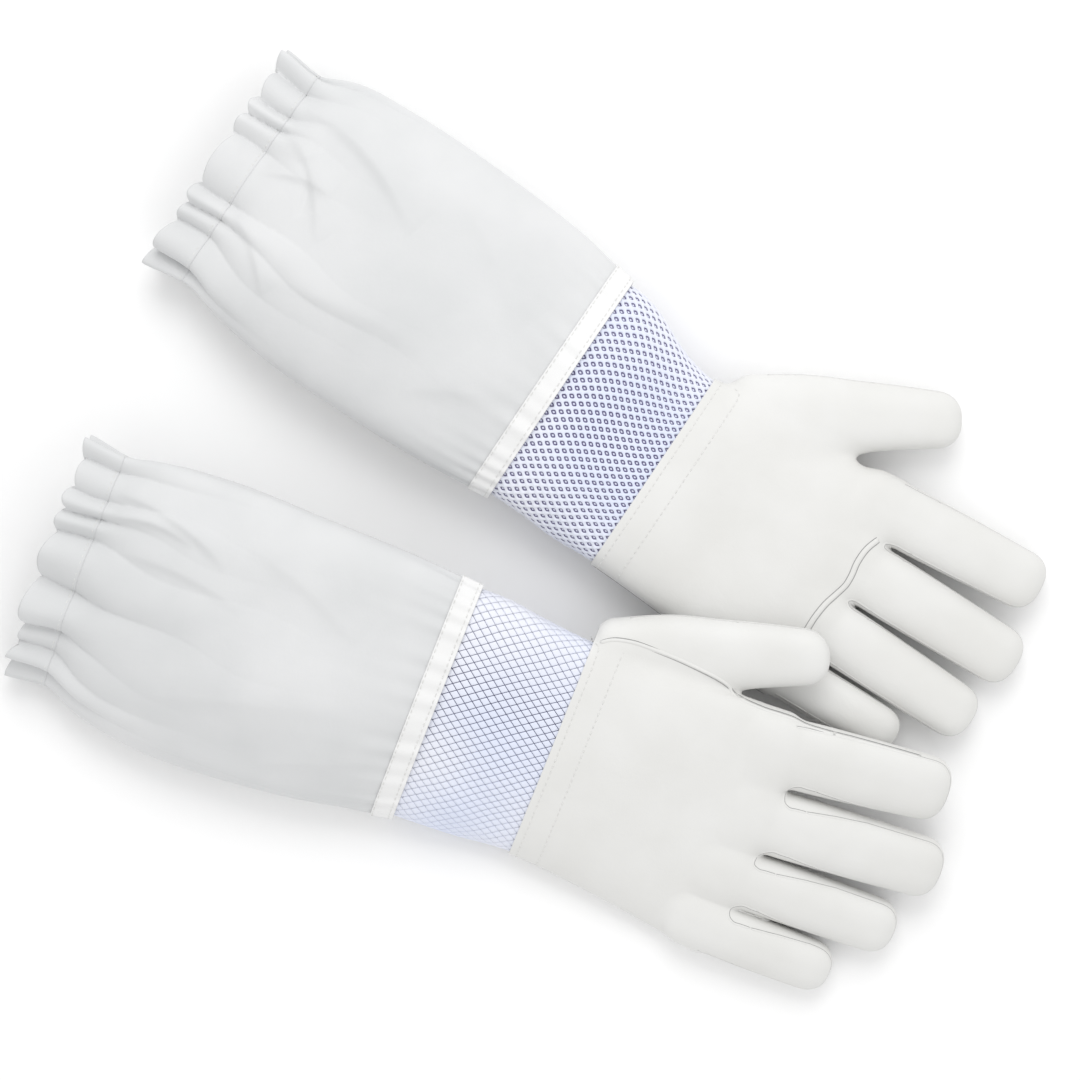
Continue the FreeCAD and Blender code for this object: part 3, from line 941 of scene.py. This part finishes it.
# how far a seam stays in from a finger's edge, by distance along the finger: (along, inset)
NEAR_EDGE = [(-10, 1.6), (4, 1.7), (18, 1.3), (34, 1.0), (60, 0.8), (90, 0.8)]
WIDE_FORK = [(-10, 4.4), (2, 5.0), (12, 4.6), (28, 2.6), (44, 1.3), (90, 0.8)]


def insets_of(skin, side):
    """The seams stand wide round the forks on the back of the hand, and close to the edge on the palm."""
    return np.array(WIDE_FORK if side != skin.palm_side else NEAR_EDGE, float)


def finger_outline(skin, digit, side):
    """A line down one side of a finger, round its tip and back up the other side, seen from above."""
    stall = skin.stalls[digit]
    p = 2.6
    psi = np.linspace(0, math.pi / 2, 12)
    wide_inset, near = insets_of(skin, side), np.array(NEAR_EDGE, float)

    def arm(sign, start, insets):
        far = stall.round_from + (stall.round_length - 0.9) * np.sin(psi) ** (2 / p)
        along = np.concatenate([np.arange(start, stall.round_from, 2.0), far])
        wide = np.concatenate([np.ones(len(along) - 12), np.cos(psi) ** (2 / p)])
        half = (stall.row(along)[2] - np.interp(along, insets[:, 0], insets[:, 1])) * wide
        return np.column_stack([along, sign * half, stall.row(along)[1]])

    outer_first = digit == "index"
    one = arm(1, -8.0 if outer_first else STALL_CUT - 1.0, near if outer_first else wide_inset)
    last = digit == "little"
    other = arm(-1, -8.0 if last else STALL_CUT - 1.0, near if last else wide_inset)[::-1]
    return stall.outward(np.vstack([one, other[1:]]))


def fork_line(skin, first, second, side):
    """The seam round a fork, from one finger's side to the next finger's, seen from above."""
    a, b = skin.stalls[first], skin.stalls[second]
    insets = insets_of(skin, side)
    reach = np.array([STALL_CUT + 1.0, 7.0, 3.0, -0.5])
    inset = np.interp(reach, insets[:, 0], insets[:, 1])
    inset[-1] *= 0.62
    down = a.outward(np.column_stack([reach, -a.row(reach)[2] + inset, a.row(reach)[1]]))
    up = b.outward(np.column_stack([reach, b.row(reach)[2] - inset, b.row(reach)[1]]))
    middle = (down[-1] + up[-1]) / 2
    middle[0] -= 1.6
    return np.vstack([down, [middle], up[::-1]])


def edge_line(skin):
    """The seam along the little finger's side of the hand, from the wrist to the knuckle."""
    along = np.arange(1.5, 112.0, 2.0)
    side, up, half, _, _ = skin.palm.row(along)
    return np.column_stack([along, side - half, up + 0.8])


def thumb_outline(skin):
    """The seam round the thumb: up its outer side, over its tip and down to the crotch."""
    stall = skin.stalls["thumb"]
    psi = np.linspace(0, math.pi / 2, 12)
    straight = np.arange(-44.0, stall.round_from, 2.0)
    along = np.concatenate([straight, stall.round_from + stall.round_length * np.sin(psi) ** 0.8])
    wide = np.concatenate([np.ones(len(straight)), np.cos(psi) ** 0.8])
    side, up, half, _, _ = stall.row(along)
    raised = 4.2 if skin.hand == "left" else 1.2
    outer = np.column_stack([along, side + (half - raised * 0.15) * wide, up + raised * wide])
    inner = np.column_stack([along, side - half * wide, up + 1.2])[::-1]
    inner = inner[inner[:, 0] > 4.0]
    return stall.outward(np.vstack([outer, inner[1:]]))


def make_seams(glove, skin):
    hand = glove.hand
    trim = Trim(glove, skin)
    for digit in FINGERS:
        for side in (1, -1):
            trim.seam(*on_skin(skin, finger_outline(skin, digit, side), side, 1.2))
    for first, second in zip(FINGERS, FINGERS[1:]):
        for side in (1, -1):
            trim.seam(*on_skin(skin, fork_line(skin, first, second, side), side, 0.9))
    trim.seam(*snapped(skin, edge_line(skin), 1.5))
    trim.seam(*snapped(skin, thumb_outline(skin), 1.3))
    if hand == "right":
        index = skin.stalls["index"]
        reach = np.array([4.0, 20.0, 40.0, 58.0])
        far = index.outward(np.column_stack([reach, index.row(reach)[2] - 1.0, np.full(4, 4.2)]))
        line, normals = snapped(skin, np.vstack([ROLL, far]), 1.3)
        trim.cord("roll", line, normals, 1.05, 0.7, 0.25)
        # two dark cords of painted shadow along the roll's edges
        trim.cord("shadow", line + [0, 1.05, -0.3], normals, 0.2, 1.0, 0.05)
        trim.cord("shadow", line + [0, -1.15, 0.05], normals, 0.15, 1.0, 0.02)

    line, normals = on_skin(skin, WELT, skin.palm_side, 0.9)
    across = unit(np.cross(normals, np.gradient(line, axis=0)))
    welt, faces = sweep(line - normals * 0.2, 1.5, 12, 0.62, normals)
    piece = new_object(hand + "_welt", welt, faces, glove)
    dress(piece, LEATHER_LOOK, "glove_leather", glove, skin, "hand", "palm_welt")
    # dark cords of painted shadow along both edges of the welt
    for shift in (-1.55, 1.55):
        edge = skin.snap(line + across * shift, 3)
        trim.cord("shadow", edge, skin.normals(edge), 0.2, 1.0, 0.0)
    for place in (4.0, 15.6):
        angle = np.linspace(0.04, 2 * math.pi - 0.04, 260)
        line = skin.snap(skin.palm.surface(np.full(260, place), angle), 3)
        normals = skin.normals(line)
        trim.parts.setdefault(("stitch", "hand"), []).append(stitches(line, normals, 2.3, 1.1, 0.24, 0.0))
    trim.finish()
    make_hem(glove, skin)


HEM_SUNK = 1.35
HEM_WALL = 0.95


def make_hem(glove, skin):
    """The turned edge of leather inside the wrist seam."""
    rows, columns = 10, 200
    angle = np.tile(np.arange(columns) * 2 * math.pi / columns, rows)
    places = np.linspace(0.2, 15.5, rows)
    along = np.repeat(places, columns)
    wall = skin.palm.surface(along, angle)
    normals = skin.palm_normals(along, angle)
    outer, inner = wall - normals * HEM_SUNK, wall - normals * (HEM_SUNK + HEM_WALL)
    piece = shell(glove, glove.hand + "_hem", inner, outer, 1.6, places)
    dress(piece, LEATHER_LOOK, "glove_leather", glove, skin, "hand", "wrist_hem")


# ---- The ventilated band ----

CELLS_ROUND = 60
CELL_LONG = 6.2
BAND_OVERLAP = 3.2
NET_INSET = 1.45
NET_THICK = 0.75


def band_section(hand, along):
    """Centre and half sizes of the band at a distance along, a little fuller in its middle."""
    wrist, cuff = np.array(PALMS[hand][1][1:5]), np.array(SLEEVES[hand][0][1:])
    t = np.clip(-along / BAND, -0.06, 1.06)[:, None]
    ease = 3 * np.clip(t, 0, 1) ** 2 - 2 * np.clip(t, 0, 1) ** 3
    row = wrist + (cuff - wrist) * ease
    puff = np.sin(np.clip(t[:, 0], 0, 1) * math.pi)
    row[:, 2] += 0.6 * puff
    row[:, 3] += 1.0 * puff
    return row


def band_surface(hand, along, turn, inset):
    """Points of the band at a distance along and a share of a turn round, sunk by an inset."""
    along, turn = np.asarray(along, float), np.asarray(turn, float)
    row = band_section(hand, along)
    angle = turn * 2 * math.pi
    cos, sin = np.cos(angle), np.sin(angle)
    y = row[:, 0] + (row[:, 2] - inset) * rounded(cos, 2 / 2.2)
    z = row[:, 1] + (row[:, 3] - inset) * rounded(sin, 2 / 2.2)
    wave = 0.35 * np.sin(angle * 5 + along * 0.09) + 0.3 * np.sin(angle * 9 - along * 0.14 + 1.3)
    wave *= np.sin(np.clip(-along / BAND, 0, 1) * math.pi)
    out = np.column_stack([np.zeros(len(y)), cos, sin])
    points = np.column_stack([along, y, z]) + out * wave[:, None]
    return clear_floor(GLOVES[hand], points, 0.25 + inset)


def clear_floor(glove, points, least):
    """Lifts points that would dip below the floor, softly."""
    row = glove.to_row(points)
    height = row[:, 2] / MM
    low = least + 1.6
    lifted = np.where(height < low, least + 1.6 * np.exp(np.clip((height - low) / 1.6, -8, 0)), height)
    row[:, 2] = lifted * MM
    return (row - glove.origin) @ glove.turn / MM


def even_turns(hand, count):
    """Shares of a turn that are evenly spaced round the band's girth."""
    fine = np.linspace(0, 1, 1441)
    points = band_surface(hand, np.full(1441, -BAND / 2), fine, NET_INSET)
    length = lengths(points)
    share = length / length[-1]
    return lambda x: np.interp(np.mod(x / count, 1.0), share, fine)


def lattice(mode):
    """Vertices (x, y, depth) and faces of the net, x counting cells round and y cells along."""
    rows = int(math.ceil((BAND + 2 * BAND_OVERLAP) / CELL_LONG))
    centres = [(i + 0.5, j) for i in range(CELLS_ROUND) for j in range(rows + 1)]
    centres += [(i, j + 0.5) for i in range(CELLS_ROUND) for j in range(rows)]
    corner = np.array([(1, 0), (2 / 3, 1 / 3), (1 / 3, 2 / 3), (0, 1), (-1 / 3, 2 / 3), (-2 / 3, 1 / 3)])
    edge = np.vstack([corner, -corner]) * 0.5
    angle = np.arctan2(edge[:, 1], edge[:, 0])
    curve = np.column_stack([rounded(np.cos(angle), 2 / 1.55), rounded(np.sin(angle), 2 / 1.55)])
    verts, faces, keys = [], [], {}

    def number(point, depth):
        key = (round(point[0] % CELLS_ROUND, 4) % CELLS_ROUND, round(point[1], 4), depth)
        if key not in keys:
            keys[key] = len(verts)
            verts.append((point[0], point[1], depth))
        return keys[key]

    if mode == "holes":
        hole, half, side = 0.50 * 0.51, 0.50 * 0.70, NET_THICK
        rings = [(edge, None, 0.0), (curve, half, 0.06), (curve, hole, 0.32), (curve, hole, side)]
    else:
        rings = [(edge, 0.915, NET_THICK), (edge, 0.90, 0.2), (edge, 0.82, 0.04), (edge, 0.40, 0.0)]
    for cx, cy in centres:
        loops = []
        for shape, scale, depth in rings:
            ring = shape if scale is None else shape * scale
            loops.append([number((cx + x, cy + y), depth) for x, y in ring])
        for a, b in zip(loops, loops[1:]):
            for k in range(12):
                m = (k + 1) % 12
                faces.append((a[k], b[k], b[m], a[m]) if mode == "holes" else (a[k], a[m], b[m], b[k]))
        if mode == "pads":
            faces.append(tuple(loops[-1]))
    return np.array(verts), faces


def band_tube(glove, name, inset, wall, rows=26, columns=240):
    """A closed sleeve of cloth inside the band, with its cell-counting UV."""
    hand = glove.hand
    turns = even_turns(hand, CELLS_ROUND)
    along = np.linspace(BAND_OVERLAP, -BAND - BAND_OVERLAP, rows)
    x = np.arange(columns) * CELLS_ROUND / columns
    grid_u, grid_x = np.repeat(along, columns), np.tile(x, rows)
    outer, inner = [band_surface(hand, grid_u, turns(grid_x), inset + w) for w in (0.0, wall)]
    cells = (BAND_OVERLAP - along) / CELL_LONG
    return shell(glove, f"{hand}_{name}", outer, inner, CELLS_ROUND / columns, cells)


def make_band(glove, skin):
    """The outer net as real mesh, the spacer layer behind it and the fine net inside."""
    hand = glove.hand
    cells, faces = lattice("holes" if hand == "left" else "pads")
    turns = even_turns(hand, CELLS_ROUND)
    along = BAND_OVERLAP - cells[:, 1] * CELL_LONG
    keep = (along > -BAND - BAND_OVERLAP - 1.0) & (along < BAND_OVERLAP + 0.5)
    back = -np.ones(len(cells), int)
    back[keep] = np.arange(keep.sum())
    faces = [tuple(back[i] for i in face) for face in faces if all(keep[i] for i in face)]
    points = np.empty((keep.sum(), 3))
    for depth in np.unique(cells[:, 2]):
        chosen = cells[keep][:, 2] == depth
        part = cells[keep][chosen]
        points[chosen] = band_surface(hand, along[keep][chosen], turns(part[:, 0]), NET_INSET + depth)
    piece = new_object(hand + "_net_face", points, [face[::-1] for face in faces], glove)
    dress(piece, NET_LOOK, "coarse_net", glove, skin, "band", "outer_net")

    spacer = band_tube(glove, "net_spacer", NET_INSET + NET_THICK + 0.05, 1.5)
    dress(spacer, BACK_LOOKS[hand], "spacer_net", glove, skin, "band", "spacer_layer")

    inner = band_tube(glove, "net_lining", NET_INSET + NET_THICK + 1.7, 0.7)
    dress(inner, FINE_LOOK, "fine_net", glove, skin, "band", "inner_net")


# ---- The sleeve ----

SLEEVE_ROWS = 230
SLEEVE_COLUMNS = 384
PLEATS = 19
SEAM_TURN = {"left": -0.47, "right": -0.44}


# long folds: from (along, turn) to (along, turn), height and half width in millimetres
RIDGES = {
    "left": [
        ((-250, 0.13), (-168, 0.20), 3.2, 6.0),
        ((-252, 0.17), (-205, 0.27), 2.6, 5.0),
        ((-252, 0.24), (-212, 0.22), 2.4, 4.0),
        ((-250, 0.30), (-214, 0.36), 2.2, 5.0),
        ((-236, 0.20), (-220, 0.26), -2.4, 5.0),
        ((-225, 0.34), (-130, 0.30), 1.3, 9.0),
        ((-170, 0.12), (-95, 0.22), 1.2, 10.0),
        ((-130, 0.36), (-80, 0.30), 1.0, 8.0),
        ((-235, 0.62), (-150, 0.70), 1.8, 8.0),
        ((-150, 0.80), (-85, 0.72), 1.4, 9.0),
        ((-245, 0.86), (-190, 0.93), 2.0, 7.0),
    ],
    "right": [
        ((-252, 0.11), (-185, 0.16), 3.0, 5.0),
        ((-250, 0.15), (-205, 0.15), 2.2, 3.5),
        ((-240, 0.19), (-170, 0.20), 1.8, 5.0),
        ((-180, 0.12), (-110, 0.19), 1.6, 8.0),
        ((-210, 0.34), (-110, 0.27), 1.3, 10.0),
        ((-140, 0.38), (-80, 0.33), 1.1, 8.0),
        ((-225, 0.42), (-90, 0.43), 1.6, 7.0),
        ((-235, 0.62), (-150, 0.68), 1.8, 8.0),
        ((-160, 0.82), (-85, 0.74), 1.4, 9.0),
        ((-245, 0.88), (-195, 0.95), 2.0, 7.0),
    ],
}


def ridge(along, turn, start, end, height, width):
    """One soft fold that rises and dies away between two places, sharper on one flank."""
    girth = 330.0
    a = np.array([start[0], start[1] * girth])
    b = np.array([end[0], end[1] * girth])
    length = np.linalg.norm(b - a)
    way = (b - a) / length
    x, y = along - a[0], np.mod(turn, 1.0) * girth - a[1]
    t = (x * way[0] + y * way[1]) / length
    off = -x * way[1] + y * way[0] + 3.0 * np.sin(t * math.pi)
    body = np.clip(1 - (2 * t - 1) ** 2, 0, 1) ** 0.8
    flank = np.where(off > 0, width * 0.55, width * 1.5)
    edge = np.clip((along - SLEEVE_END) / 8, 0, 1) * np.clip((-BAND - 12 - along) / 12, 0, 1)
    return height * body * np.exp(-((off / flank) ** 2)) * edge


class Folds:
    """How the sleeve's cloth stands in and out, by distance along and share of a turn."""

    def __init__(self, hand):
        rng = np.random.default_rng(11 if hand == "left" else 23)
        self.hand = hand
        self.edges = np.cumsum(rng.uniform(0.55, 1.45, PLEATS))
        self.edges = np.concatenate([[0], self.edges / self.edges[-1]])
        self.tall = rng.uniform(0.55, 1.25, PLEATS)
        self.reach = rng.choice([11.0, 17.0, 27.0, 40.0], PLEATS, p=[0.3, 0.3, 0.25, 0.15])
        self.lean = rng.uniform(-0.9, 0.9, PLEATS)
        self.soft = [
            (k, rng.uniform(0, 6.28), rng.uniform(-0.030, 0.030), rng.uniform(0.4, 1.0))
            for k in (2, 3, 3, 4, 5, 6)
        ]
        self.puckers = [(k, rng.uniform(0, 6.28), rng.uniform(0.5, 1.0)) for k in (17, 23, 31, 41)]

    def pleat_of(self, turn):
        """The number of the pleat at a share of a turn, its width and how far across it that is."""
        number = np.clip(np.searchsorted(self.edges, turn, side="right") - 1, 0, PLEATS - 1)
        width = self.edges[number + 1] - self.edges[number]
        return number, width, (turn - self.edges[number]) / width

    def pleat(self, along, turn):
        """The gathers: round crests and sharp valleys that fade away from the elastic."""
        away = along - SLEEVE_END
        drift = turn + 0.006 * np.sin(away / 15 + turn * 40)
        number, width, within = self.pleat_of(np.mod(drift, 1.0))
        bent = np.clip(within + 0.10 * self.lean[number] * np.sin(math.pi * within), 0, 1)
        crest = np.sin(math.pi * bent) ** 0.8
        near = np.exp(-np.clip(away, 0, None) / self.reach[number])
        base = np.exp(-np.clip(away, 0, None) / 20.0)
        size = self.tall[number] * (width * PLEATS) ** 0.5
        return 6.2 * size * crest * near - 3.8 * base

    def depth(self, along, turn):
        angle = turn * 2 * math.pi
        total = self.pleat(along, turn)
        body = np.clip((-BAND - along) / 30, 0, 1) * np.clip((along - SLEEVE_END) / 30, 0, 1)
        for k, phase, shear, size in self.soft:
            total += body * 0.75 * size * np.sin(k * angle + phase + shear * along)
        for start, end, height, width in RIDGES[self.hand]:
            total += ridge(along, turn, start, end, height, width)
        wrist = np.exp(-np.clip(-BAND - 11 - along, 0, None) / 13.0)
        for k, phase, size in self.puckers:
            total += wrist * 0.30 * size * np.sin(k * angle + phase)
        return total


def sleeve_surface(hand, folds, along, turn, inset, lift=0.0):
    """Points of the sleeve's cloth."""
    along, turn = np.asarray(along, float), np.asarray(turn, float)
    row = smooth_curve(sorted(SLEEVES[hand]), along)
    angle = turn * 2 * math.pi
    cos, sin = np.cos(angle), np.sin(angle)
    radial = folds.depth(along, turn) + lift - inset
    normal = unit(np.column_stack([cos / row[:, 2], sin / row[:, 3]]))
    y = row[:, 0] + row[:, 2] * cos + normal[:, 0] * radial
    z = row[:, 1] + row[:, 3] * sin + normal[:, 1] * radial
    points = np.column_stack([along, y, z])
    return clear_floor(GLOVES[hand], points, 0.2 + inset)


def even_sleeve(hand, count):
    """Even shares of a turn round the sleeve's middle."""
    fine = np.linspace(0, 1, 2001)
    row = smooth_curve(sorted(SLEEVES[hand]), np.array([-150.0]))[0]
    y, z = row[2] * np.cos(fine * 2 * math.pi), row[3] * np.sin(fine * 2 * math.pi)
    length = lengths(np.column_stack([y, z]))
    return np.interp(np.arange(count) / count, length / length[-1], fine), length[-1]


def sleeve_tube(glove, folds, name, start, end, rows, columns, wall, lift=0.0):
    """A stretch of the sleeve's cloth as a tube with a wall."""
    hand = glove.hand
    turns, girth = even_sleeve(hand, columns)
    along = np.linspace(start, end, rows)
    grid_u, grid_t = np.repeat(along, columns), np.tile(turns, rows)
    outer = sleeve_surface(hand, folds, grid_u, grid_t, 0.0, lift)
    inner = sleeve_surface(hand, folds, grid_u, grid_t, wall, lift)
    return shell(glove, name, outer, inner, girth / columns, -along)


def make_sleeve(glove, skin):
    hand = glove.hand
    folds = Folds(hand)
    name = hand + "_sleeve_cloth"
    cloth = sleeve_tube(glove, folds, name, -BAND, SLEEVE_END, SLEEVE_ROWS, SLEEVE_COLUMNS, CANVAS)
    dress(cloth, CANVAS_LOOK, "sleeve_canvas", glove, skin, "gauntlet", "sleeve")

    name = hand + "_facing"
    facing = sleeve_tube(glove, folds, name, -BAND + 0.6, -BAND - 11.0, 24, SLEEVE_COLUMNS, 0.8, 0.95)
    dress(facing, FACING_LOOK, "facing_cotton", glove, skin, "gauntlet", "sleeve_facing")
    casing = make_casing(glove, skin, folds)
    tape = make_side_seam(glove, skin, folds)
    sewn = make_sleeve_stitches(glove, skin, folds)


def rim_wave(folds):
    """How far the rim stands out past its own middle, scallop by scallop."""

    def move(along, turn):
        share = np.clip((SLEEVE_END - along) / (SLEEVE_END - RIM), 0, 1)
        number, _, within = folds.pleat_of(turn)
        bulge = np.sin(math.pi * within) ** 0.6
        return -share**2 * (4.2 * bulge * folds.tall[number] - 2.4)

    return move


def make_casing(glove, skin, folds):
    """The gathered hem: canvas turned back on itself as a channel, with the elastic inside it."""
    hand = glove.hand
    columns, rows = SLEEVE_COLUMNS * 4 // 3, 22
    turns, girth = even_sleeve(hand, columns)
    share = np.linspace(0, 1, rows)
    along = SLEEVE_END + 0.3 - share * (SLEEVE_END - RIM + 0.3)
    wave = rim_wave(folds)

    def layer(shares, insets):
        """Rings of the channel at shares of its width, each sunk by its own inset."""
        places = np.interp(shares, share, along)
        grid_u, grid_t = np.repeat(places, columns), np.tile(turns, len(shares))
        grid_s, sunk = np.repeat(shares, columns), np.repeat(insets, columns)
        swell = 1.1 * np.sin(np.clip(grid_s, 0, 1) * math.pi) ** 0.7 + 2.2 * grid_s**2
        flutter = folds.depth(grid_u * 0 + SLEEVE_END + 1, grid_t) * 0.35 * grid_s
        return sleeve_surface(hand, folds, grid_u + wave(grid_u, grid_t), grid_t, sunk, swell + flutter)

    depth = 4.8 - 2.2 * share**4
    back = np.minimum(share, 0.955)
    outward = np.vstack([layer(share, share * 0), layer(share[::-1], depth[::-1])])
    cavity = np.vstack([layer(back, share * 0 + CANVAS), layer(back[::-1], depth[::-1] - CANVAS)])
    places = np.arange(2 * rows) * 20.0 / rows
    piece = shell(glove, hand + "_casing", outward, cavity, girth / columns, places)
    dress(piece, CANVAS_LOOK, "sleeve_canvas", glove, skin, "gauntlet", "elastic_casing")

    band = np.linspace(0.23, 0.77, 8)
    outer, inner = layer(band, band * 0 + 1.35), layer(band, band * 0 + 2.55)
    elastic = shell(glove, hand + "_elastic", outer, inner, girth / columns, np.arange(8) * 1.6)
    dress(elastic, ELASTIC_LOOK, "elastic", glove, skin, "gauntlet", "elastic_band")
    return piece


def make_side_seam(glove, skin, folds):
    """The tape over the seam that closes the sleeve; the stitches at its edges come from
    make_sleeve_stitches.
    """
    hand = glove.hand
    at = SEAM_TURN[hand]
    rows, columns, half = 150, 9, 0.011
    along = np.linspace(-BAND - 11.4, SLEEVE_END + 1.0, rows)
    across = np.linspace(-half, half, columns)
    grid_u, grid_t = np.repeat(along, columns), np.tile(at + across, rows)
    bow = 0.35 * (1 - (np.tile(across, rows) / half) ** 4)
    outer = sleeve_surface(hand, folds, grid_u, grid_t, 0.0, 0.35 + bow)
    inner = sleeve_surface(hand, folds, grid_u, grid_t, 0.0, 0.05)
    count, end = rows * columns, columns - 1
    faces = []
    for r in range(rows - 1):
        for c in range(end):
            a, b = r * columns + c, (r + 1) * columns + c
            faces.append((b, b + 1, a + 1, a))
            faces.append((a + count, a + 1 + count, b + 1 + count, b + count))
        a, b = r * columns, (r + 1) * columns
        faces.append((a, a + count, b + count, b))
        faces.append((b + end, b + end + count, a + end + count, a + end))
    last = (rows - 1) * columns
    for c in range(end):
        faces.append((c, c + 1, c + 1 + count, c + count))
        faces.append((last + c + 1, last + c, last + c + count, last + c + 1 + count))
    piece = new_object(hand + "_seam_tape", np.vstack([outer, inner]), faces, glove)
    values = np.column_stack([np.tile(across, rows) * 380, -grid_u])
    set_uv(piece, np.vstack([values, values]))
    dress(piece, TAPE_LOOK, "seam_tape", glove, skin, "gauntlet", "side_seam")
    return piece


def make_sleeve_stitches(glove, skin, folds):
    """Stitches along both edges of the facing, along the tape and round the hem's channel."""
    hand = glove.hand
    parts = []
    turns = np.linspace(0, 1, 500)
    for along, lift in ((-BAND - 1.6, 1.0), (-BAND - 10.0, 1.0), (SLEEVE_END - 1.5, 0.35)):
        line = sleeve_surface(hand, folds, np.full(500, along), turns, 0.0, lift)
        normals = unit(np.cross(np.roll(line, -1, axis=0) - np.roll(line, 1, axis=0), [-1, 0, 0]))
        facing = (normals * (line - line.mean(0)) * [0, 1, 1]).sum(1)
        parts.append(stitches(line, normals * np.sign(facing)[:, None], 2.2, 1.2, 0.22, 0.02))
    along = np.linspace(-BAND - 12, SLEEVE_END + 2, 400)
    for across in (-0.0075, 0.0075):
        turn = np.full(400, SEAM_TURN[hand] + across)
        line = sleeve_surface(hand, folds, along, turn, 0.0, 0.66)
        beside = sleeve_surface(hand, folds, along, turn + 0.002, 0.0, 0.66)
        normals = unit(np.cross(np.gradient(line, axis=0), beside - line))
        out = line - np.column_stack([along, smooth_curve(sorted(SLEEVES[hand]), along)[:, :2]])
        normals *= np.sign((normals * out).sum(1))[:, None]
        parts.append(stitches(line, normals, 2.4, 1.3, 0.2, 0.02))
    points, faces = joined(parts)
    piece = new_object(hand + "_sleeve_stitches", points, faces, glove)
    dress(piece, THREAD_LOOK, "sleeve_canvas", glove, skin, "gauntlet")
    return piece


# ---- Build ----

GLOVES = {hand: Glove(hand) for hand in HANDS}
SKINS = {hand: Skin(hand) for hand in HANDS}
for hand in HANDS:
    make_leather(GLOVES[hand], SKINS[hand])
    make_seams(GLOVES[hand], SKINS[hand])
    make_band(GLOVES[hand], SKINS[hand])
    make_sleeve(GLOVES[hand], SKINS[hand])


# ---- Studio ----

CAMERA_ROLL = 27.75
VIEW_CENTRE = (-0.0092, 0.0141)
CAMERA_HEIGHT = 1.9
FRAME_WIDE = 0.5616
FLOOR_HALF = 6.0
SKY = 0.88
# name, place, power and size
LAMPS = (("key", (-0.5, 1.2, 1.5), 14.5, 1.3), ("fill", (0.9, -0.9, 1.6), 3.6, 1.6))


def make_studio():
    """A pale floor, soft light and a camera that looks straight down."""
    mesh = bpy.data.meshes.new("floor")
    half = FLOOR_HALF
    corners = [(-half, -half, 0), (half, -half, 0), (half, half, 0), (-half, half, 0)]
    mesh.from_pydata(corners, [], [(0, 1, 2, 3)])
    floor = placed("floor", mesh)
    material, nodes, links, shader = start_material("floor", (0.93, 0.93, 0.93), 0.9)
    shader.inputs["Specular IOR Level"].default_value = 0.0
    mesh.materials.append(material)

    camera = bpy.data.cameras.new("camera")
    camera.sensor_width = 36.0
    camera.lens = 36.0 * CAMERA_HEIGHT / FRAME_WIDE
    camera.clip_end = 20.0
    eye = placed("camera", camera)
    eye.location = (*VIEW_CENTRE, CAMERA_HEIGHT)
    eye.rotation_euler = (0, 0, math.radians(CAMERA_ROLL))
    bpy.context.scene.camera = eye

    world = bpy.data.worlds.new("world")
    world.use_nodes = True
    sky = world.node_tree.nodes["Background"]
    sky.inputs["Color"].default_value = (1, 1, 1, 1)
    sky.inputs["Strength"].default_value = SKY
    bpy.context.scene.world = world
    for name, place, power, wide in LAMPS:
        light = bpy.data.lights.new(name, "AREA")
        light.energy = power
        light.size = wide
        lamp = placed(name, light)
        lamp.location = place
        aim = Vector((0, 0, 0)) - Vector(place)
        lamp.rotation_euler = aim.to_track_quat("-Z", "Y").to_euler()


make_studio()
bpy.context.scene.view_settings.view_transform = "Standard"
